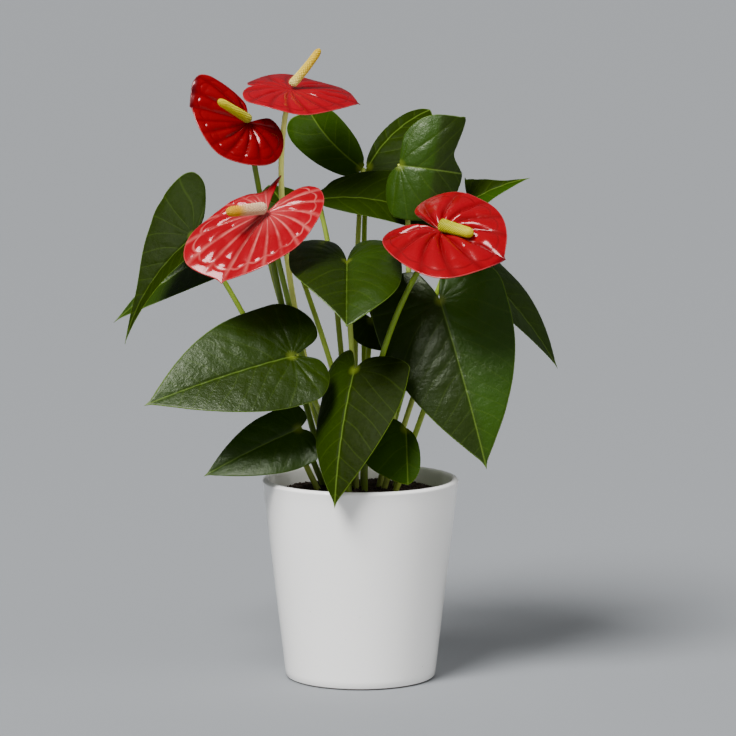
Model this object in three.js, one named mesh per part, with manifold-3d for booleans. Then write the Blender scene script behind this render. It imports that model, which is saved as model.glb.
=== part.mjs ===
// A potted anthurium: a white glazed pot full of potting mix, heart-shaped leaves on long
// petioles, and four blooms, each a stalk with a red spathe and a spadix on it.
// Millimetres, +Z up. The origin is the middle of the pot's flat foot, and -Y is the front.
import * as THREE from 'three';
import { mergeVertices } from 'three/addons/utils/BufferGeometryUtils.js';
import Module from 'manifold-3d';

// ---- Pot and potting mix -------------------------------------------------------------------
const POT_HEIGHT = 138;
const RIM_RADIUS = 67.5;
const FOOT_RADIUS = 51.5;
const WALL = 5;
const FLOOR = 8;
const FOOT_CHAMFER = 1.6;
const INNER_CHAMFER = 3;
const RIM_STEPS = 5; // of the rounded rim
const POT_SIDES = 48;
const SOIL_EDGE = 127; // height of the mix where it meets the wall
const SOIL_RISE = 5; // how much higher it stands in the middle
const CRUMB = 0.9; // half the height of its lumps
const CRUMBS_ROUND = [7, 3]; // lumps round a ring
const CRUMBS_SHIFT = [5, -2]; // how far the next ring's are turned, in radians
const SOIL_RINGS = 8;
const SOIL_CHAMFER = 4;
const SOIL_SLACK = 0.5; // a bit more gap to the wall, for the flats of both round shapes
const FIT = 0.3; // gap between two pieces that touch
const HOLE_ROOM = 0.45; // how much wider a stem's hole is in radius

// ---- Plant ---------------------------------------------------------------------------------
const ROOTED = 114; // height of every stem's lower end, in the mix
const STRAIGHT = 27; // length of a stem's straight lower end, which stands in a plain hole
const ROOT_PULL = 0.45; // how long a stem keeps the way that it leaves the mix
const BLADE_PULL = 0.2; // and the way that it meets its blade
const ONWARD = 0.5; // how far a petiole that isn't given its way leans on under its blade
const STEM_SIDES = 6;
const STEM_STEPS = 12;
const PETIOLE_RADIUS = 2;
const STALK_RADIUS = 2.1;
const BLADE_THICKNESS = 0.8;
const SPATHE_THICKNESS = 1;
const BLADE_RINGS = 4;
const BLADE_RAYS = 24; // along the whole outline
const NEAR = 0.5; // how far off a normal's neighbours are taken
const FLAT = 0.1; // the least turn of a curve, in degrees
const RIPPLE_END = 1.2; // past this share of the half's width the waves grow no higher

// Half outlines from the tip to the notch: [along, across]. Along is 1 at the tip, 0 at the
// stem and -1 at the end of the lobe. Across is 1 at the widest place.
const LEAF_OUTLINE = [
  [1, 0], [0.95, 0.05], [0.87, 0.2], [0.7, 0.5], [0.5, 0.77], [0.28, 0.95], [0.02, 1],
  [-0.35, 0.95], [-0.75, 0.77], [-1, 0.5], [-0.92, 0.22], [-0.45, 0.07], [-0.05, 0],
];
// A half that stays broad to its tip, one that narrows to the stem like a wedge, one whose lobe
// is its widest part, one that ends bluntly, one with a shoulder beside its tip, and one whose
// lobe ends in a thin rolled point.
const BROAD = [
  [1, 0], [0.97, 0.18], [0.88, 0.46], [0.74, 0.74], [0.55, 0.93], [0.3, 1], [0, 0.98],
  [-0.4, 0.88], [-0.8, 0.68], [-1, 0.46], [-0.92, 0.22], [-0.45, 0.07], [-0.05, 0],
];
const WEDGE = [
  [1, 0], [0.97, 0.25], [0.9, 0.6], [0.77, 0.9], [0.6, 1], [0.42, 0.97], [0.27, 0.85],
  [0.14, 0.63], [0.05, 0.4], [0, 0.2], [-0.2, 0.1], [-0.3, 0.04], [-0.05, 0],
];
const LOBED = [
  [1, 0], [0.85, 0.04], [0.64, 0.13], [0.5, 0.25], [0.38, 0.4], [0.18, 0.68], [0, 0.9],
  [-0.4, 1], [-0.8, 1.02], [-1, 0.9], [-0.95, 0.6], [-0.5, 0.18], [-0.05, 0],
];
const BLUNT = [
  [1, 0], [1.02, 0.3], [1.03, 0.65], [0.96, 0.92], [0.82, 1], [0.65, 0.95], [0.45, 0.84],
  [0.25, 0.68], [0.1, 0.5], [0.02, 0.25], [-0.1, 0.12], [-0.2, 0.05], [-0.05, 0],
];
const SHOULDER = [
  [1, 0], [0.8, 0.27], [0.82, 0.5], [0.94, 0.97], [0.83, 1], [0.65, 1], [0.45, 0.98],
  [0.28, 0.91], [0.12, 0.76], [0, 0.55], [-0.1, 0.32], [-0.1, 0.12], [-0.05, 0],
];
const ROLLED = [
  [1, 0], [0.97, 0.14], [0.96, 0.5], [0.9, 0.78], [0.74, 0.95], [0.52, 1], [0.28, 0.9],
  [0.02, 0.74], [-0.28, 0.52], [-0.48, 0.32], [-1, 0.27], [-0.3, 0.12], [-0.05, 0],
];
// A half whose lobe nearly meets the other one, and one whose lobe reaches across the midrib.
const CLOSED = [
  [1, 0], [0.96, 0.04], [0.91, 0.17], [0.78, 0.47], [0.58, 0.76], [0.34, 0.95], [0.06, 1],
  [-0.35, 0.97], [-0.75, 0.78], [-1, 0.45], [-0.98, 0.15], [-0.6, 0.03], [-0.05, 0],
];
const CROSSING = [
  [1, 0], [0.96, 0.04], [0.91, 0.17], [0.78, 0.47], [0.56, 0.78], [0.3, 0.96], [-0.1, 1],
  [-0.55, 0.9], [-0.88, 0.65], [-1, 0.3], [-0.88, -0.05], [-0.5, -0.24], [-0.05, 0],
];
const SPATHE_OUTLINE = [
  [1, 0], [0.96, 0.04], [0.91, 0.17], [0.78, 0.47], [0.58, 0.76], [0.34, 0.95], [0.06, 1],
  [-0.3, 0.97], [-0.7, 0.82], [-1, 0.55], [-0.95, 0.26], [-0.45, 0.08], [-0.05, 0],
];

// A leaf's numbers: root [x, y] in the mix, the way its petiole leaves the mix (up) and the way
// it is seen to leave its blade (arrive), the blade's stem end (at) and tip, the way its upper
// face looks (face), and [left, right] for the rest: the halves' widths, how far the lobes reach
// back, how far each half lifts from the midrib (fold) and turns at its margin (curl), in
// degrees. bend turns the midrib down along its length, sweep turns it to the left, and wave is
// the height of the margin's waves. outlines are the left and right half's.
const PLAIN = {
  up: [0, 0, 1], bend: 20, sweep: 0, fold: [8, 8], curl: [-12, -12], wave: 1.2,
};
const WAVES = 4; // along half the margin
const LEAVES = {
  leaf_front: {
    root: [-6, -17], up: [-0.1, 0.1, 1], at: [-4, -36, 217], tip: [-17, -82, 130],
    face: [-0.35, -0.9, 0.3], halves: [40, 34], lobes: [10, 20], bend: 26,
    fold: [6, -14], curl: [-10, -40],
  },
  leaf_left: {
    root: [-14, -9], up: [-0.1, 0.05, 1], arrive: [0.4, 0.3, -1], at: [-46, -36, 226],
    tip: [-144, -62, 196], face: [-0.1, -0.88, 0.5], halves: [40, 42], lobes: [18, 24],
    bend: 18, fold: [16, 8], curl: [-12, -18],
  },
  leaf_left_low: {
    root: [-21, -4], up: [-0.5, 0, 1], at: [-42, -24, 175], tip: [-106, -34, 144],
    face: [-0.1, -0.8, 0.55], halves: [27, 20], lobes: [7, 9], bend: 14, fold: [4, 14],
  },
  leaf_centre: {
    root: [-3, -9], arrive: [0, 0.35, -1], at: [-9, -28, 289], tip: [-9, -90, 252],
    face: [0, -0.3, 0.95], halves: [38, 40], lobes: [37, 36], bend: 26,
    fold: [28, 26], curl: [-45, -40], outlines: [BROAD, LEAF_OUTLINE],
  },
  leaf_right: {
    root: [11, -8], up: [0.3, 0, 1], at: [54, -18, 262], tip: [85, -48, 151],
    face: [0.1, -0.95, 0.3], halves: [45, 48], lobes: [28, 27], bend: 22,
    fold: [8, -5],
  },
  leaf_right_back: {
    root: [17, 5], up: [0.4, 0.1, 1], at: [81, 30, 280], tip: [137, 36, 209],
    face: [0.6, -0.4, 0.7], halves: [30, 30], lobes: [18, 18],
  },
  leaf_right_top: {
    root: [10, 8], up: [0.2, 0, 1], arrive: [-0.3, 0, -1], at: [74, 8, 327],
    tip: [115, -4, 344], face: [-0.2, -0.3, 0.92], halves: [27, 14], lobes: [1, 9],
    fold: [24, -10], outlines: [LOBED, LEAF_OUTLINE],
  },
  leaf_top_bright: {
    root: [9, 0], up: [0.22, 0.1, 1], arrive: [0.25, -0.1, -1], at: [27, -10, 353],
    tip: [69, -6, 347], face: [-0.05, -1, 0.1], halves: [38, 36], lobes: [8, 9], bend: 75,
    fold: [4, 4], outlines: [SHOULDER, BROAD],
  },
  leaf_top_dark: {
    root: [-3, 5], up: [-0.1, 0, 1], arrive: [0.35, 0.05, -1], at: [-29, 18, 328],
    tip: [60, 18, 308], face: [0, -0.5, 0.85], halves: [38, 22], lobes: [4, 6], bend: 50,
    fold: [10, 4], curl: [-10, -12], outlines: [BLUNT, WEDGE],
  },
  leaf_top_back: {
    root: [3, 11], up: [0, 0.1, 1], arrive: [-0.12, -0.4, -1], at: [5, 62, 347],
    tip: [49, 90, 386], face: [-0.3, -0.85, 0.4], halves: [7, 30], lobes: [0.5, 14],
    sweep: -30, outlines: [WEDGE, BROAD],
  },
  leaf_top_left: {
    root: [-4, 13], up: [0, 0.1, 1], arrive: [-0.12, -0.4, -1], at: [1, 52, 347],
    tip: [-36, 79, 386], face: [-0.1, -0.95, 0], halves: [22, 16], lobes: [1, 1], bend: 30,
    sweep: -20, fold: [0, 0], wave: 2.5, outlines: [BLUNT, WEDGE],
  },
  leaf_far_left: {
    root: [-19, 11], up: [-0.4, 0, 1], arrive: [0.58, 0.15, -0.8], at: [-114, 10, 303],
    tip: [-161, 0, 230], face: [-0.45, -0.85, 0.1], halves: [24, 43], lobes: [6, 30],
    sweep: 32, fold: [50, 2], outlines: [LEAF_OUTLINE, LOBED],
  },
  leaf_far_left_back: {
    root: [-12, 15], up: [-0.3, 0.2, 1], at: [-68, 46, 308], tip: [-172, 46, 240],
    face: [0, -0.5, 0.85], halves: [34, 22], lobes: [18, 18],
  },
  leaf_back: {
    root: [-3, 20], up: [-0.1, 0.4, 1], at: [-50, 72, 313], tip: [-66, 106, 332],
    face: [0, -0.4, 0.85], halves: [19, 19], lobes: [14, 14],
  },
  leaf_right_small: {
    root: [2, -1.5], up: [0, 0.1, 1], at: [8, 2, 247], tip: [22, 6, 224],
    face: [-0.1, -0.8, 0.5], halves: [16, 18], lobes: [10, 10],
  },
  leaf_low: {
    root: [17, -14], up: [0.4, -0.1, 1], at: [31, -31, 176], tip: [32, -52, 141],
    face: [0, -0.8, 0.5], halves: [9, 32], lobes: [2, 8], bend: 16,
    outlines: [WEDGE, BROAD],
  },
};

// A bloom's numbers: as a leaf's, with the spadix's direction, length and radius, and with the
// way that its stalk is seen to leave the spathe always given.
const BLOOMS = {
  left: {
    root: [-9, -2], up: [-0.3, 0, 1], arrive: [0.15, 0.6, -0.7], at: [-63, -30, 322],
    tip: [-92, -66, 278], face: [-0.39, -0.87, 0.36], halves: [40, 39], lobes: [33, 31],
    bend: 12, fold: [6, 4], curl: [0, 0], outlines: [SPATHE_OUTLINE, ROLLED],
    spadix: [-0.7, -0.7, -0.02], spadixLength: 34, spadixRadius: 4,
  },
  top: {
    root: [-10, 6], up: [-0.3, 0.1, 1], arrive: [-0.3, 0.05, -1], at: [-47, 0, 404],
    tip: [0, -6, 394], face: [0.05, -0.3, 0.95], halves: [37, 34], lobes: [34, 27], bend: 10,
    fold: [-6, -6], curl: [0, 0], outlines: [CLOSED, CLOSED],
    spadix: [0.6, 0, 0.75], spadixLength: 31, spadixRadius: 2.8,
  },
  top_left: {
    root: [-16, 3], up: [-0.3, 0, 1], arrive: [0.2, 0.2, -1], at: [-76, -10, 382],
    tip: [-115, -16, 393], face: [0.15, -0.85, 0.5], halves: [33, 25], lobes: [28, 3], bend: 10,
    fold: [5, 5], curl: [0, 0], outlines: [CROSSING, BLUNT],
    spadix: [-0.62, -0.6, 0.42], spadixLength: 31, spadixRadius: 3,
  },
  right: {
    root: [3, -16], up: [0, -0.06, 1], arrive: [-0.6, 0.05, -0.83], at: [54, -50, 312],
    tip: [96, -76, 295], face: [0, -0.6, 0.8], halves: [38, 43], lobes: [31, 34], bend: 14,
    fold: [6, 0], curl: [0, 0], outlines: [SPATHE_OUTLINE, BROAD],
    spadix: [0.85, -0.45, -0.21], spadixLength: 25, spadixRadius: 4.1,
  },
};
const SPADIX_SIDES = 12;
const SPADIX_RINGS = 14;
const SPADIX_TAPER = 0.15; // share of its radius that it loses to its tip
const SPADIX_DOME = 0.2; // share of its length that is its round tip
const SPADIX_BLUNT = 0.15; // how flat the very tip is
const SPADIX_CAP = 0.6; // length of the last point
const SPADIX_RELIEF = 0.25; // height of the florets on it

// ---- Materials -----------------------------------------------------------------------------
const finish = (color, roughness) => new THREE.MeshStandardMaterial({ color, roughness, metalness: 0 });
const GLAZE = finish(0xe9e9e7, 0.2);
const MIX = finish(0x2e2018, 0.95);
const GREEN = finish(0x2c5a23, 0.4);
const STEM_GREEN = finish(0x7fa050, 0.5);
const RED = finish(0xc8101c, 0.25);
const YELLOW = finish(0xd8c53a, 0.6);

const wasm = await Module();
wasm.setup();

// ---- Helpers -------------------------------------------------------------------------------
const vec = (list) => new THREE.Vector3(...list);
const radians = THREE.MathUtils.degToRad;

function solid(geometry) {
  const bare = geometry.clone();
  bare.deleteAttribute('normal');
  bare.deleteAttribute('uv');
  const merged = mergeVertices(bare, 1e-4);
  return new wasm.Manifold(new wasm.Mesh({
    numProp: 3,
    vertProperties: new Float32Array(merged.attributes.position.array),
    triVerts: new Uint32Array(merged.index.array),
  }));
}

function geometryOf(body) {
  const mesh = body.getMesh();
  const geometry = new THREE.BufferGeometry();
  geometry.setAttribute('position', new THREE.BufferAttribute(mesh.vertProperties, mesh.numProp));
  geometry.setIndex(new THREE.BufferAttribute(mesh.triVerts, 1));
  geometry.computeVertexNormals();
  return geometry;
}

// A closed skin from rings of points. Each ring goes round the same way; the first and last
// rings are single points.
function skin(rings) {
  const positions = [];
  const starts = [];
  for (const ring of rings) {
    starts.push(positions.length / 3);
    ring.forEach((point) => positions.push(point.x, point.y, point.z));
  }
  const index = [];
  for (let i = 0; i + 1 < rings.length; i += 1) {
    const count = Math.max(rings[i].length, rings[i + 1].length);
    const here = (j) => starts[i] + (j % rings[i].length);
    const next = (j) => starts[i + 1] + (j % rings[i + 1].length);
    for (let j = 0; j < count; j += 1) {
      if (rings[i].length > 1) index.push(here(j), here(j + 1), next(j));
      if (rings[i + 1].length > 1) index.push(here(j + 1), next(j + 1), next(j));
    }
  }
  const geometry = new THREE.BufferGeometry();
  geometry.setAttribute('position', new THREE.Float32BufferAttribute(positions, 3));
  geometry.setIndex(index);
  return geometry;
}

function circle(radius, sides) {
  return new THREE.Shape(Array.from({ length: sides }, (_, i) => {
    const angle = (2 * Math.PI * i) / sides;
    return new THREE.Vector2(radius * Math.cos(angle), radius * Math.sin(angle));
  }));
}

function tube(path, radius, sides, steps) {
  return new THREE.ExtrudeGeometry(circle(radius, sides), { extrudePath: path, steps });
}

// ---- Blades --------------------------------------------------------------------------------
// The closed outline of a blade from the notch, round by the left lobe to the tip and back by
// the right one, as [along, across] in millimetres.
function outline(form, length) {
  const [left, right] = form.outlines.map((table, half) => {
    const curve = new THREE.SplineCurve(table.map((pair) => new THREE.Vector2(...pair)));
    return curve.getPoints(BLADE_RAYS / 2).map(({ x, y }) => (
      [x * (x > 0 ? length : form.lobes[half]), y * form.halves[half]]));
  });
  return [...left.reverse(), ...right.slice(1, -1).map(([along, across]) => [along, -across])];
}

// The frame of a blade: its chord from stem to tip, its upper face's way and its left side.
function bladeFrame(form) {
  const at = vec(form.at);
  const chord = vec(form.tip).sub(at);
  const reach = chord.length();
  const ahead = chord.normalize();
  const left = vec(form.face).cross(ahead).normalize();
  const above = ahead.clone().cross(left).normalize();
  const turn = radians(form.bend);
  const radius = reach / (2 * Math.sin(turn / 2));
  const swing = radians(form.sweep || FLAT) / 2;
  return { at, ahead, left, above, turn, radius, length: radius * turn, reach, swing };
}

// Where the flat point [along, across] of a blade lies on the bent one.
function bladePoint(form, frame, along, across) {
  const { at, ahead, left, above, turn, radius, length, reach, swing } = frame;
  const share = along / length;
  const half = across > 0 ? 0 : 1;
  const width = form.halves[half];
  const out = Math.abs(across);
  const start = radians(form.fold[half]);
  const bow = radians(form.curl[half] || FLAT) / width;
  const end = start + bow * out;
  const spread = (Math.sin(end) - Math.sin(start)) / bow;
  const sideways = across > 0 ? spread : -spread;
  const edge = Math.min(Math.hypot(share, out / width), RIPPLE_END);
  const ripple = form.wave * Math.sin(WAVES * Math.atan2(out, along)) * edge ** 2;
  const up = (Math.cos(start) - Math.cos(end)) / bow + ripple;
  const lean = turn / 2 - along / radius;
  const onChord = radius * (Math.sin(turn / 2) - Math.sin(lean)) - up * Math.sin(lean);
  const overChord = radius * (Math.cos(lean) - Math.cos(turn / 2)) + up * Math.cos(lean);
  const round = reach / (2 * Math.sin(swing)); // radius of the sweep
  const way = swing * (2 * Math.max(onChord, 0) / reach - 1);
  const straight = Math.min(onChord, 0); // a lobe isn't swept
  const swept = round * (Math.sin(way) + Math.sin(swing)) + straight * Math.cos(way);
  const aside = round * (Math.cos(swing) - Math.cos(way)) + straight * Math.sin(way);
  return at.clone().addScaledVector(above, overChord)
    .addScaledVector(ahead, swept - sideways * Math.sin(way))
    .addScaledVector(left, aside + sideways * Math.cos(way));
}

// The way that the upper face looks at a flat point.
function bladeNormal(form, frame, along, across) {
  const here = bladePoint(form, frame, along, across);
  const outward = across < 0 ? -NEAR : NEAR;
  const ahead = bladePoint(form, frame, along + NEAR, across).sub(here);
  const beside = bladePoint(form, frame, along, across + outward).sub(here);
  return ahead.cross(beside).multiplyScalar(Math.sign(outward)).normalize();
}

// A thin closed blade: its upper and lower faces are split into triangles alike.
function blade(form, thickness) {
  const frame = bladeFrame(form);
  const edge = outline(form, frame.length);
  const lifted = (along, across, level) => bladePoint(form, frame, along, across)
    .addScaledVector(bladeNormal(form, frame, along, across), level);
  const ring = (share, level) => edge.map(([along, across]) => (
    lifted(along * share, across * share, level)));
  const shares = Array.from({ length: BLADE_RINGS }, (_, i) => (i + 1) / BLADE_RINGS);
  return skin([
    [lifted(0, 0, thickness / 2)],
    ...shares.map((share) => ring(share, thickness / 2)),
    ...shares.reverse().map((share) => ring(share, -thickness / 2)),
    [lifted(0, 0, -thickness / 2)],
  ]);
}

// ---- Stems ---------------------------------------------------------------------------------
// A stem's path: straight out of the mix, then one bend to its blade.
function stemPath(form, end) {
  const root = new THREE.Vector3(...form.root, ROOTED);
  const up = vec(form.up).normalize();
  const neck = root.clone().addScaledVector(up, STRAIGHT);
  const rise = end.distanceTo(neck);
  const { ahead, above } = bladeFrame(form);
  const arrive = form.arrive ? vec(form.arrive) : ahead.clone().multiplyScalar(ONWARD).sub(above);
  const path = new THREE.CurvePath();
  path.add(new THREE.LineCurve3(root, neck));
  path.add(new THREE.CubicBezierCurve3(
    neck,
    neck.clone().addScaledVector(up, rise * ROOT_PULL),
    end.clone().addScaledVector(arrive.normalize(), rise * BLADE_PULL),
    end,
  ));
  return path;
}

const stem = (path, radius) => solid(tube(path, radius, STEM_SIDES, STEM_STEPS));

// The plain hole that a stem stands in, open at the top of the mix.
function hole({ path, radius }) {
  const { v1: root, v2: neck } = path.curves[0];
  const way = neck.clone().sub(root).normalize();
  const line = new THREE.LineCurve3(root.clone().addScaledVector(way, -FIT), neck);
  return solid(tube(line, radius + HOLE_ROOM, STEM_SIDES, 1));
}

// ---- Build ---------------------------------------------------------------------------------
const group = new THREE.Group();

function add(name, geometry, material) {
  const mesh = new THREE.Mesh(geometry, material);
  mesh.name = name;
  group.add(mesh);
}

const slope = (RIM_RADIUS - FOOT_RADIUS) / POT_HEIGHT;
const outer = (z) => FOOT_RADIUS + slope * z;

function pot() {
  const lip = WALL / 2;
  const points = [
    [0, FLOOR], [outer(FLOOR) - WALL - INNER_CHAMFER, FLOOR],
    [outer(FLOOR) - WALL, FLOOR + INNER_CHAMFER],
    [RIM_RADIUS - WALL, POT_HEIGHT - lip],
  ];
  for (let i = 1; i < RIM_STEPS; i += 1) {
    const angle = Math.PI * (1 - i / RIM_STEPS);
    const [out, up] = [Math.cos(angle), Math.sin(angle)];
    points.push([RIM_RADIUS - lip + lip * out, POT_HEIGHT - lip + lip * up]);
  }
  points.push([RIM_RADIUS, POT_HEIGHT - lip], [outer(FOOT_CHAMFER), FOOT_CHAMFER]);
  points.push([FOOT_RADIUS - FOOT_CHAMFER, 0], [0, 0]);
  const profile = points.reverse().map(([x, z]) => new THREE.Vector2(x, z));
  return new THREE.LatheGeometry(profile, POT_SIDES).rotateX(Math.PI / 2);
}

add('pot', pot(), GLAZE);
const stems = [];

for (const [name, numbers] of Object.entries(LEAVES)) {
  const form = { ...PLAIN, outlines: [LEAF_OUTLINE, LEAF_OUTLINE], ...numbers };
  const path = stemPath(form, vec(form.at));
  stems.push({ path, radius: PETIOLE_RADIUS });
  const whole = stem(path, PETIOLE_RADIUS).add(solid(blade(form, BLADE_THICKNESS)));
  add(name, geometryOf(whole), GREEN);
}

function spadix(form, base) {
  const axis = vec(form.spadix).normalize();
  const across = new THREE.Vector3(0, 0, 1).cross(axis).normalize();
  const over = axis.clone().cross(across);
  const rings = [[base.clone()]];
  for (let i = 0; i <= SPADIX_RINGS; i += 1) {
    const share = i / SPADIX_RINGS;
    const tipward = Math.max((share - 1) / SPADIX_DOME + 1, 0);
    const round = Math.sqrt(Math.max(1 - tipward ** 2, SPADIX_BLUNT));
    const ring = [];
    for (let j = 0; j < SPADIX_SIDES; j += 1) {
      const angle = (2 * Math.PI * (j + (i % 2) / 2)) / SPADIX_SIDES;
      const bump = (i + j) % 2 ? SPADIX_RELIEF : 0;
      const radius = (form.spadixRadius * (1 - SPADIX_TAPER * share) + bump) * round;
      ring.push(base.clone().addScaledVector(axis, share * (form.spadixLength - SPADIX_CAP))
        .addScaledVector(across, radius * Math.cos(angle))
        .addScaledVector(over, radius * Math.sin(angle)));
    }
    rings.push(ring);
  }
  rings.push([base.clone().addScaledVector(axis, form.spadixLength)]);
  return skin(rings);
}

// How far from the middle of the spathe a round end of this radius clears its face.
function clearance(form, normal, way, radius) {
  const tilt = Math.sin(normal.angleTo(way));
  const crease = Math.max(...form.fold.map((angle) => Math.abs(Math.sin(radians(angle)))));
  return SPATHE_THICKNESS / 2 + FIT + radius * (tilt + crease);
}

for (const [name, numbers] of Object.entries(BLOOMS)) {
  const form = { ...PLAIN, outlines: [SPATHE_OUTLINE, SPATHE_OUTLINE], ...numbers };
  const at = vec(form.at);
  const normal = bladeNormal(form, bladeFrame(form), 0, 0);
  const drop = clearance(form, normal, vec(form.arrive), STALK_RADIUS);
  const top = at.clone().addScaledVector(normal, -drop);
  const path = stemPath(form, top);
  stems.push({ path, radius: STALK_RADIUS });
  const wide = form.spadixRadius + SPADIX_RELIEF;
  const base = at.clone().addScaledVector(normal, clearance(form, normal, vec(form.spadix), wide));
  add(`stalk_${name}`, geometryOf(stem(path, STALK_RADIUS)), STEM_GREEN);
  add(`spathe_${name}`, geometryOf(solid(blade(form, SPATHE_THICKNESS))), RED);
  add(`spadix_${name}`, spadix(form, base), YELLOW);
}

// ---- The mix, with a hole for each stem ------------------------------------------------------
function pottingMix() {
  const bottom = FLOOR + FIT;
  const wallAt = (z) => outer(z) - WALL - FIT - SOIL_SLACK;
  const rings = [[new THREE.Vector3(0, 0, bottom)]];
  const ring = (radius, height) => Array.from({ length: POT_SIDES }, (_, j) => {
    const angle = (2 * Math.PI * j) / POT_SIDES;
    return new THREE.Vector3(radius * Math.cos(angle), radius * Math.sin(angle), height(angle));
  });
  const shoulder = bottom + SOIL_CHAMFER;
  rings.push(ring(wallAt(bottom) - SOIL_CHAMFER, () => bottom));
  rings.push(ring(wallAt(shoulder), () => shoulder));
  const edge = wallAt(SOIL_EDGE);
  for (let i = SOIL_RINGS; i >= 1; i -= 1) {
    const share = i / SOIL_RINGS;
    const [wide, narrow] = CRUMBS_ROUND.map((count, k) => (angle) => (
      count * angle + CRUMBS_SHIFT[k] * i));
    const lump = (angle) => Math.sin(wide(angle)) * Math.cos(narrow(angle)) * (i % 2 ? 1 : -1);
    rings.push(ring(edge * share, (angle) => (
      SOIL_EDGE + SOIL_RISE * (1 - share ** 2) + CRUMB * lump(angle))));
  }
  rings.push([new THREE.Vector3(0, 0, SOIL_EDGE + SOIL_RISE)]);
  return stems.reduce((mix, stem) => mix.subtract(hole(stem)), solid(skin(rings)));
}

add('potting_mix', geometryOf(pottingMix()), MIX);

export default group;
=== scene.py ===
# %% [markdown]
# # A potted anthurium
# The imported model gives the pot, the potting mix, sixteen leaves and four blooms as plain solids
# in metres. This lesson keeps their places and gives them their looks: smooth glaze, crumbly mix,
# veined blades, waxy spathes and spadices covered with florets.

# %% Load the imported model
import math
import bpy
import numpy as np
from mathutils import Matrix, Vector


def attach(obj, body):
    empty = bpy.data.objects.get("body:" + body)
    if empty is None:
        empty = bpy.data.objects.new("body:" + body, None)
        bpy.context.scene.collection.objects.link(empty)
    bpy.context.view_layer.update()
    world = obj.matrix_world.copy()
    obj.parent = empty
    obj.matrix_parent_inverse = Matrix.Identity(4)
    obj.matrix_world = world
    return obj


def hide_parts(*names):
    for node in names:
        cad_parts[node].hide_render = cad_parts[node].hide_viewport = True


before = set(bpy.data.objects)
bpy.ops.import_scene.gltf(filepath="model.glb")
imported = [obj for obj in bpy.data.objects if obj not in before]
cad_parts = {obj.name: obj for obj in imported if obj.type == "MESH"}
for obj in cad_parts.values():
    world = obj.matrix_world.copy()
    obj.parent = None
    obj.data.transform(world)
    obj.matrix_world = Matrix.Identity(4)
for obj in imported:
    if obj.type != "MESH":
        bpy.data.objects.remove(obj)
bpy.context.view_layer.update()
MM = 0.001

# %% [markdown]
# ## Camera
# The photograph is taken from about 2.3 m in front of the pot, a little above the plant, with a
# long lens that looks 7 degrees down. A far camera with a long lens keeps the rim's ellipse flat
# and the leaves' sizes true to each other.

# %% Place the camera
CAMERA_PLACE = (0.0052, -2.281, 0.493)  # metres
CAMERA_DOWN = 6.98  # degrees
LENS, SENSOR = 164.3, 36  # mm


def added(name, data):
    made = bpy.data.objects.new(name, data)
    bpy.context.scene.collection.objects.link(made)
    return made


camera_data = bpy.data.cameras.new("camera")
camera_data.lens = LENS
camera_data.sensor_width = SENSOR
camera = added("camera", camera_data)
camera.location = CAMERA_PLACE
camera.rotation_euler = (math.radians(90 - CAMERA_DOWN), 0, 0)
bpy.context.scene.camera = camera
print("camera:", CAMERA_PLACE, "lens:", LENS)

# %% [markdown]
# ## Node helpers
# Every finish below is a small tree of shader nodes. A few short helpers keep the trees readable:
# they make a node and fill its sockets, do arithmetic, blend colours, and read an attribute.

# %% Helpers for shader trees
COLOR_MIX_INPUTS, COLOR_MIX_RESULT = (0, 6, 7), 2  # the sockets that a mix of colours uses


def new_material(name):
    material = bpy.data.materials.new(name)
    material.use_nodes = True
    tree = material.node_tree
    shader = tree.nodes["Principled BSDF"]
    return material, tree, shader


def fill(tree, socket, value):
    if isinstance(value, bpy.types.NodeSocket):
        tree.links.new(value, socket)
    else:
        socket.default_value = value


def node(tree, kind, sockets=None, **settings):
    made = tree.nodes.new(kind)
    for key, value in settings.items():
        setattr(made, key, value)
    for key, value in (sockets or {}).items():
        fill(tree, made.inputs[key], value)
    return made


def sums(tree, operation, *values, clamp=False):
    made = tree.nodes.new("ShaderNodeMath")
    made.operation = operation
    made.use_clamp = clamp
    for socket, value in zip(made.inputs, values):
        fill(tree, socket, value)
    return made.outputs[0]


def times(tree, first, second, clamp=False):
    return sums(tree, "MULTIPLY", first, second, clamp=clamp)


def near(tree, distance, reach):
    """1 where the distance is nothing, falling evenly to 0 where it is the reach."""
    return sums(tree, "SUBTRACT", 1.0, sums(tree, "DIVIDE", distance, reach), clamp=True)


def ramp(tree, factor, stops):
    made = node(tree, "ShaderNodeValToRGB", {"Fac": factor})
    elements = made.color_ramp.elements
    while len(elements) < len(stops):
        elements.new(0.5)
    for element, (place, color) in zip(elements, stops):
        element.position = place
        element.color = (*color, 1)
    return made.outputs["Color"]


def blend_color(tree, factor, first, second):
    made = node(tree, "ShaderNodeMix", data_type="RGBA")
    sockets = [made.inputs[i] for i in COLOR_MIX_INPUTS]
    for socket, value in zip(sockets, (factor, first, second)):
        fill(tree, socket, (*value, 1) if isinstance(value, tuple) else value)
    return made.outputs[COLOR_MIX_RESULT]


def object_place(tree):
    return node(tree, "ShaderNodeTexCoord").outputs["Object"]


def object_noise(tree, scale, detail=4.0, roughness=0.55):
    made = node(tree, "ShaderNodeTexNoise", {
        "Vector": object_place(tree), "Scale": scale, "Detail": detail, "Roughness": roughness})
    return made.outputs["Fac"]


def bump(tree, shader, height, strength, distance):
    made = node(tree, "ShaderNodeBump", {"Height": height, "Strength": strength,
                                         "Distance": distance})
    tree.links.new(made.outputs["Normal"], shader.inputs["Normal"])


def attribute(tree, name):
    return node(tree, "ShaderNodeAttribute", attribute_name=name).outputs["Fac"]


def set_finish(tree, shader, finish):
    for key, value in finish.items():
        fill(tree, shader.inputs[key], value)


print("helpers ready")

# %% [markdown]
# ## Mesh helpers
# The plant is made of two kinds of surface, a thin blade and a round stem. Both are grids of
# points, so numpy works out all points at once and one helper turns them into a mesh.

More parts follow.
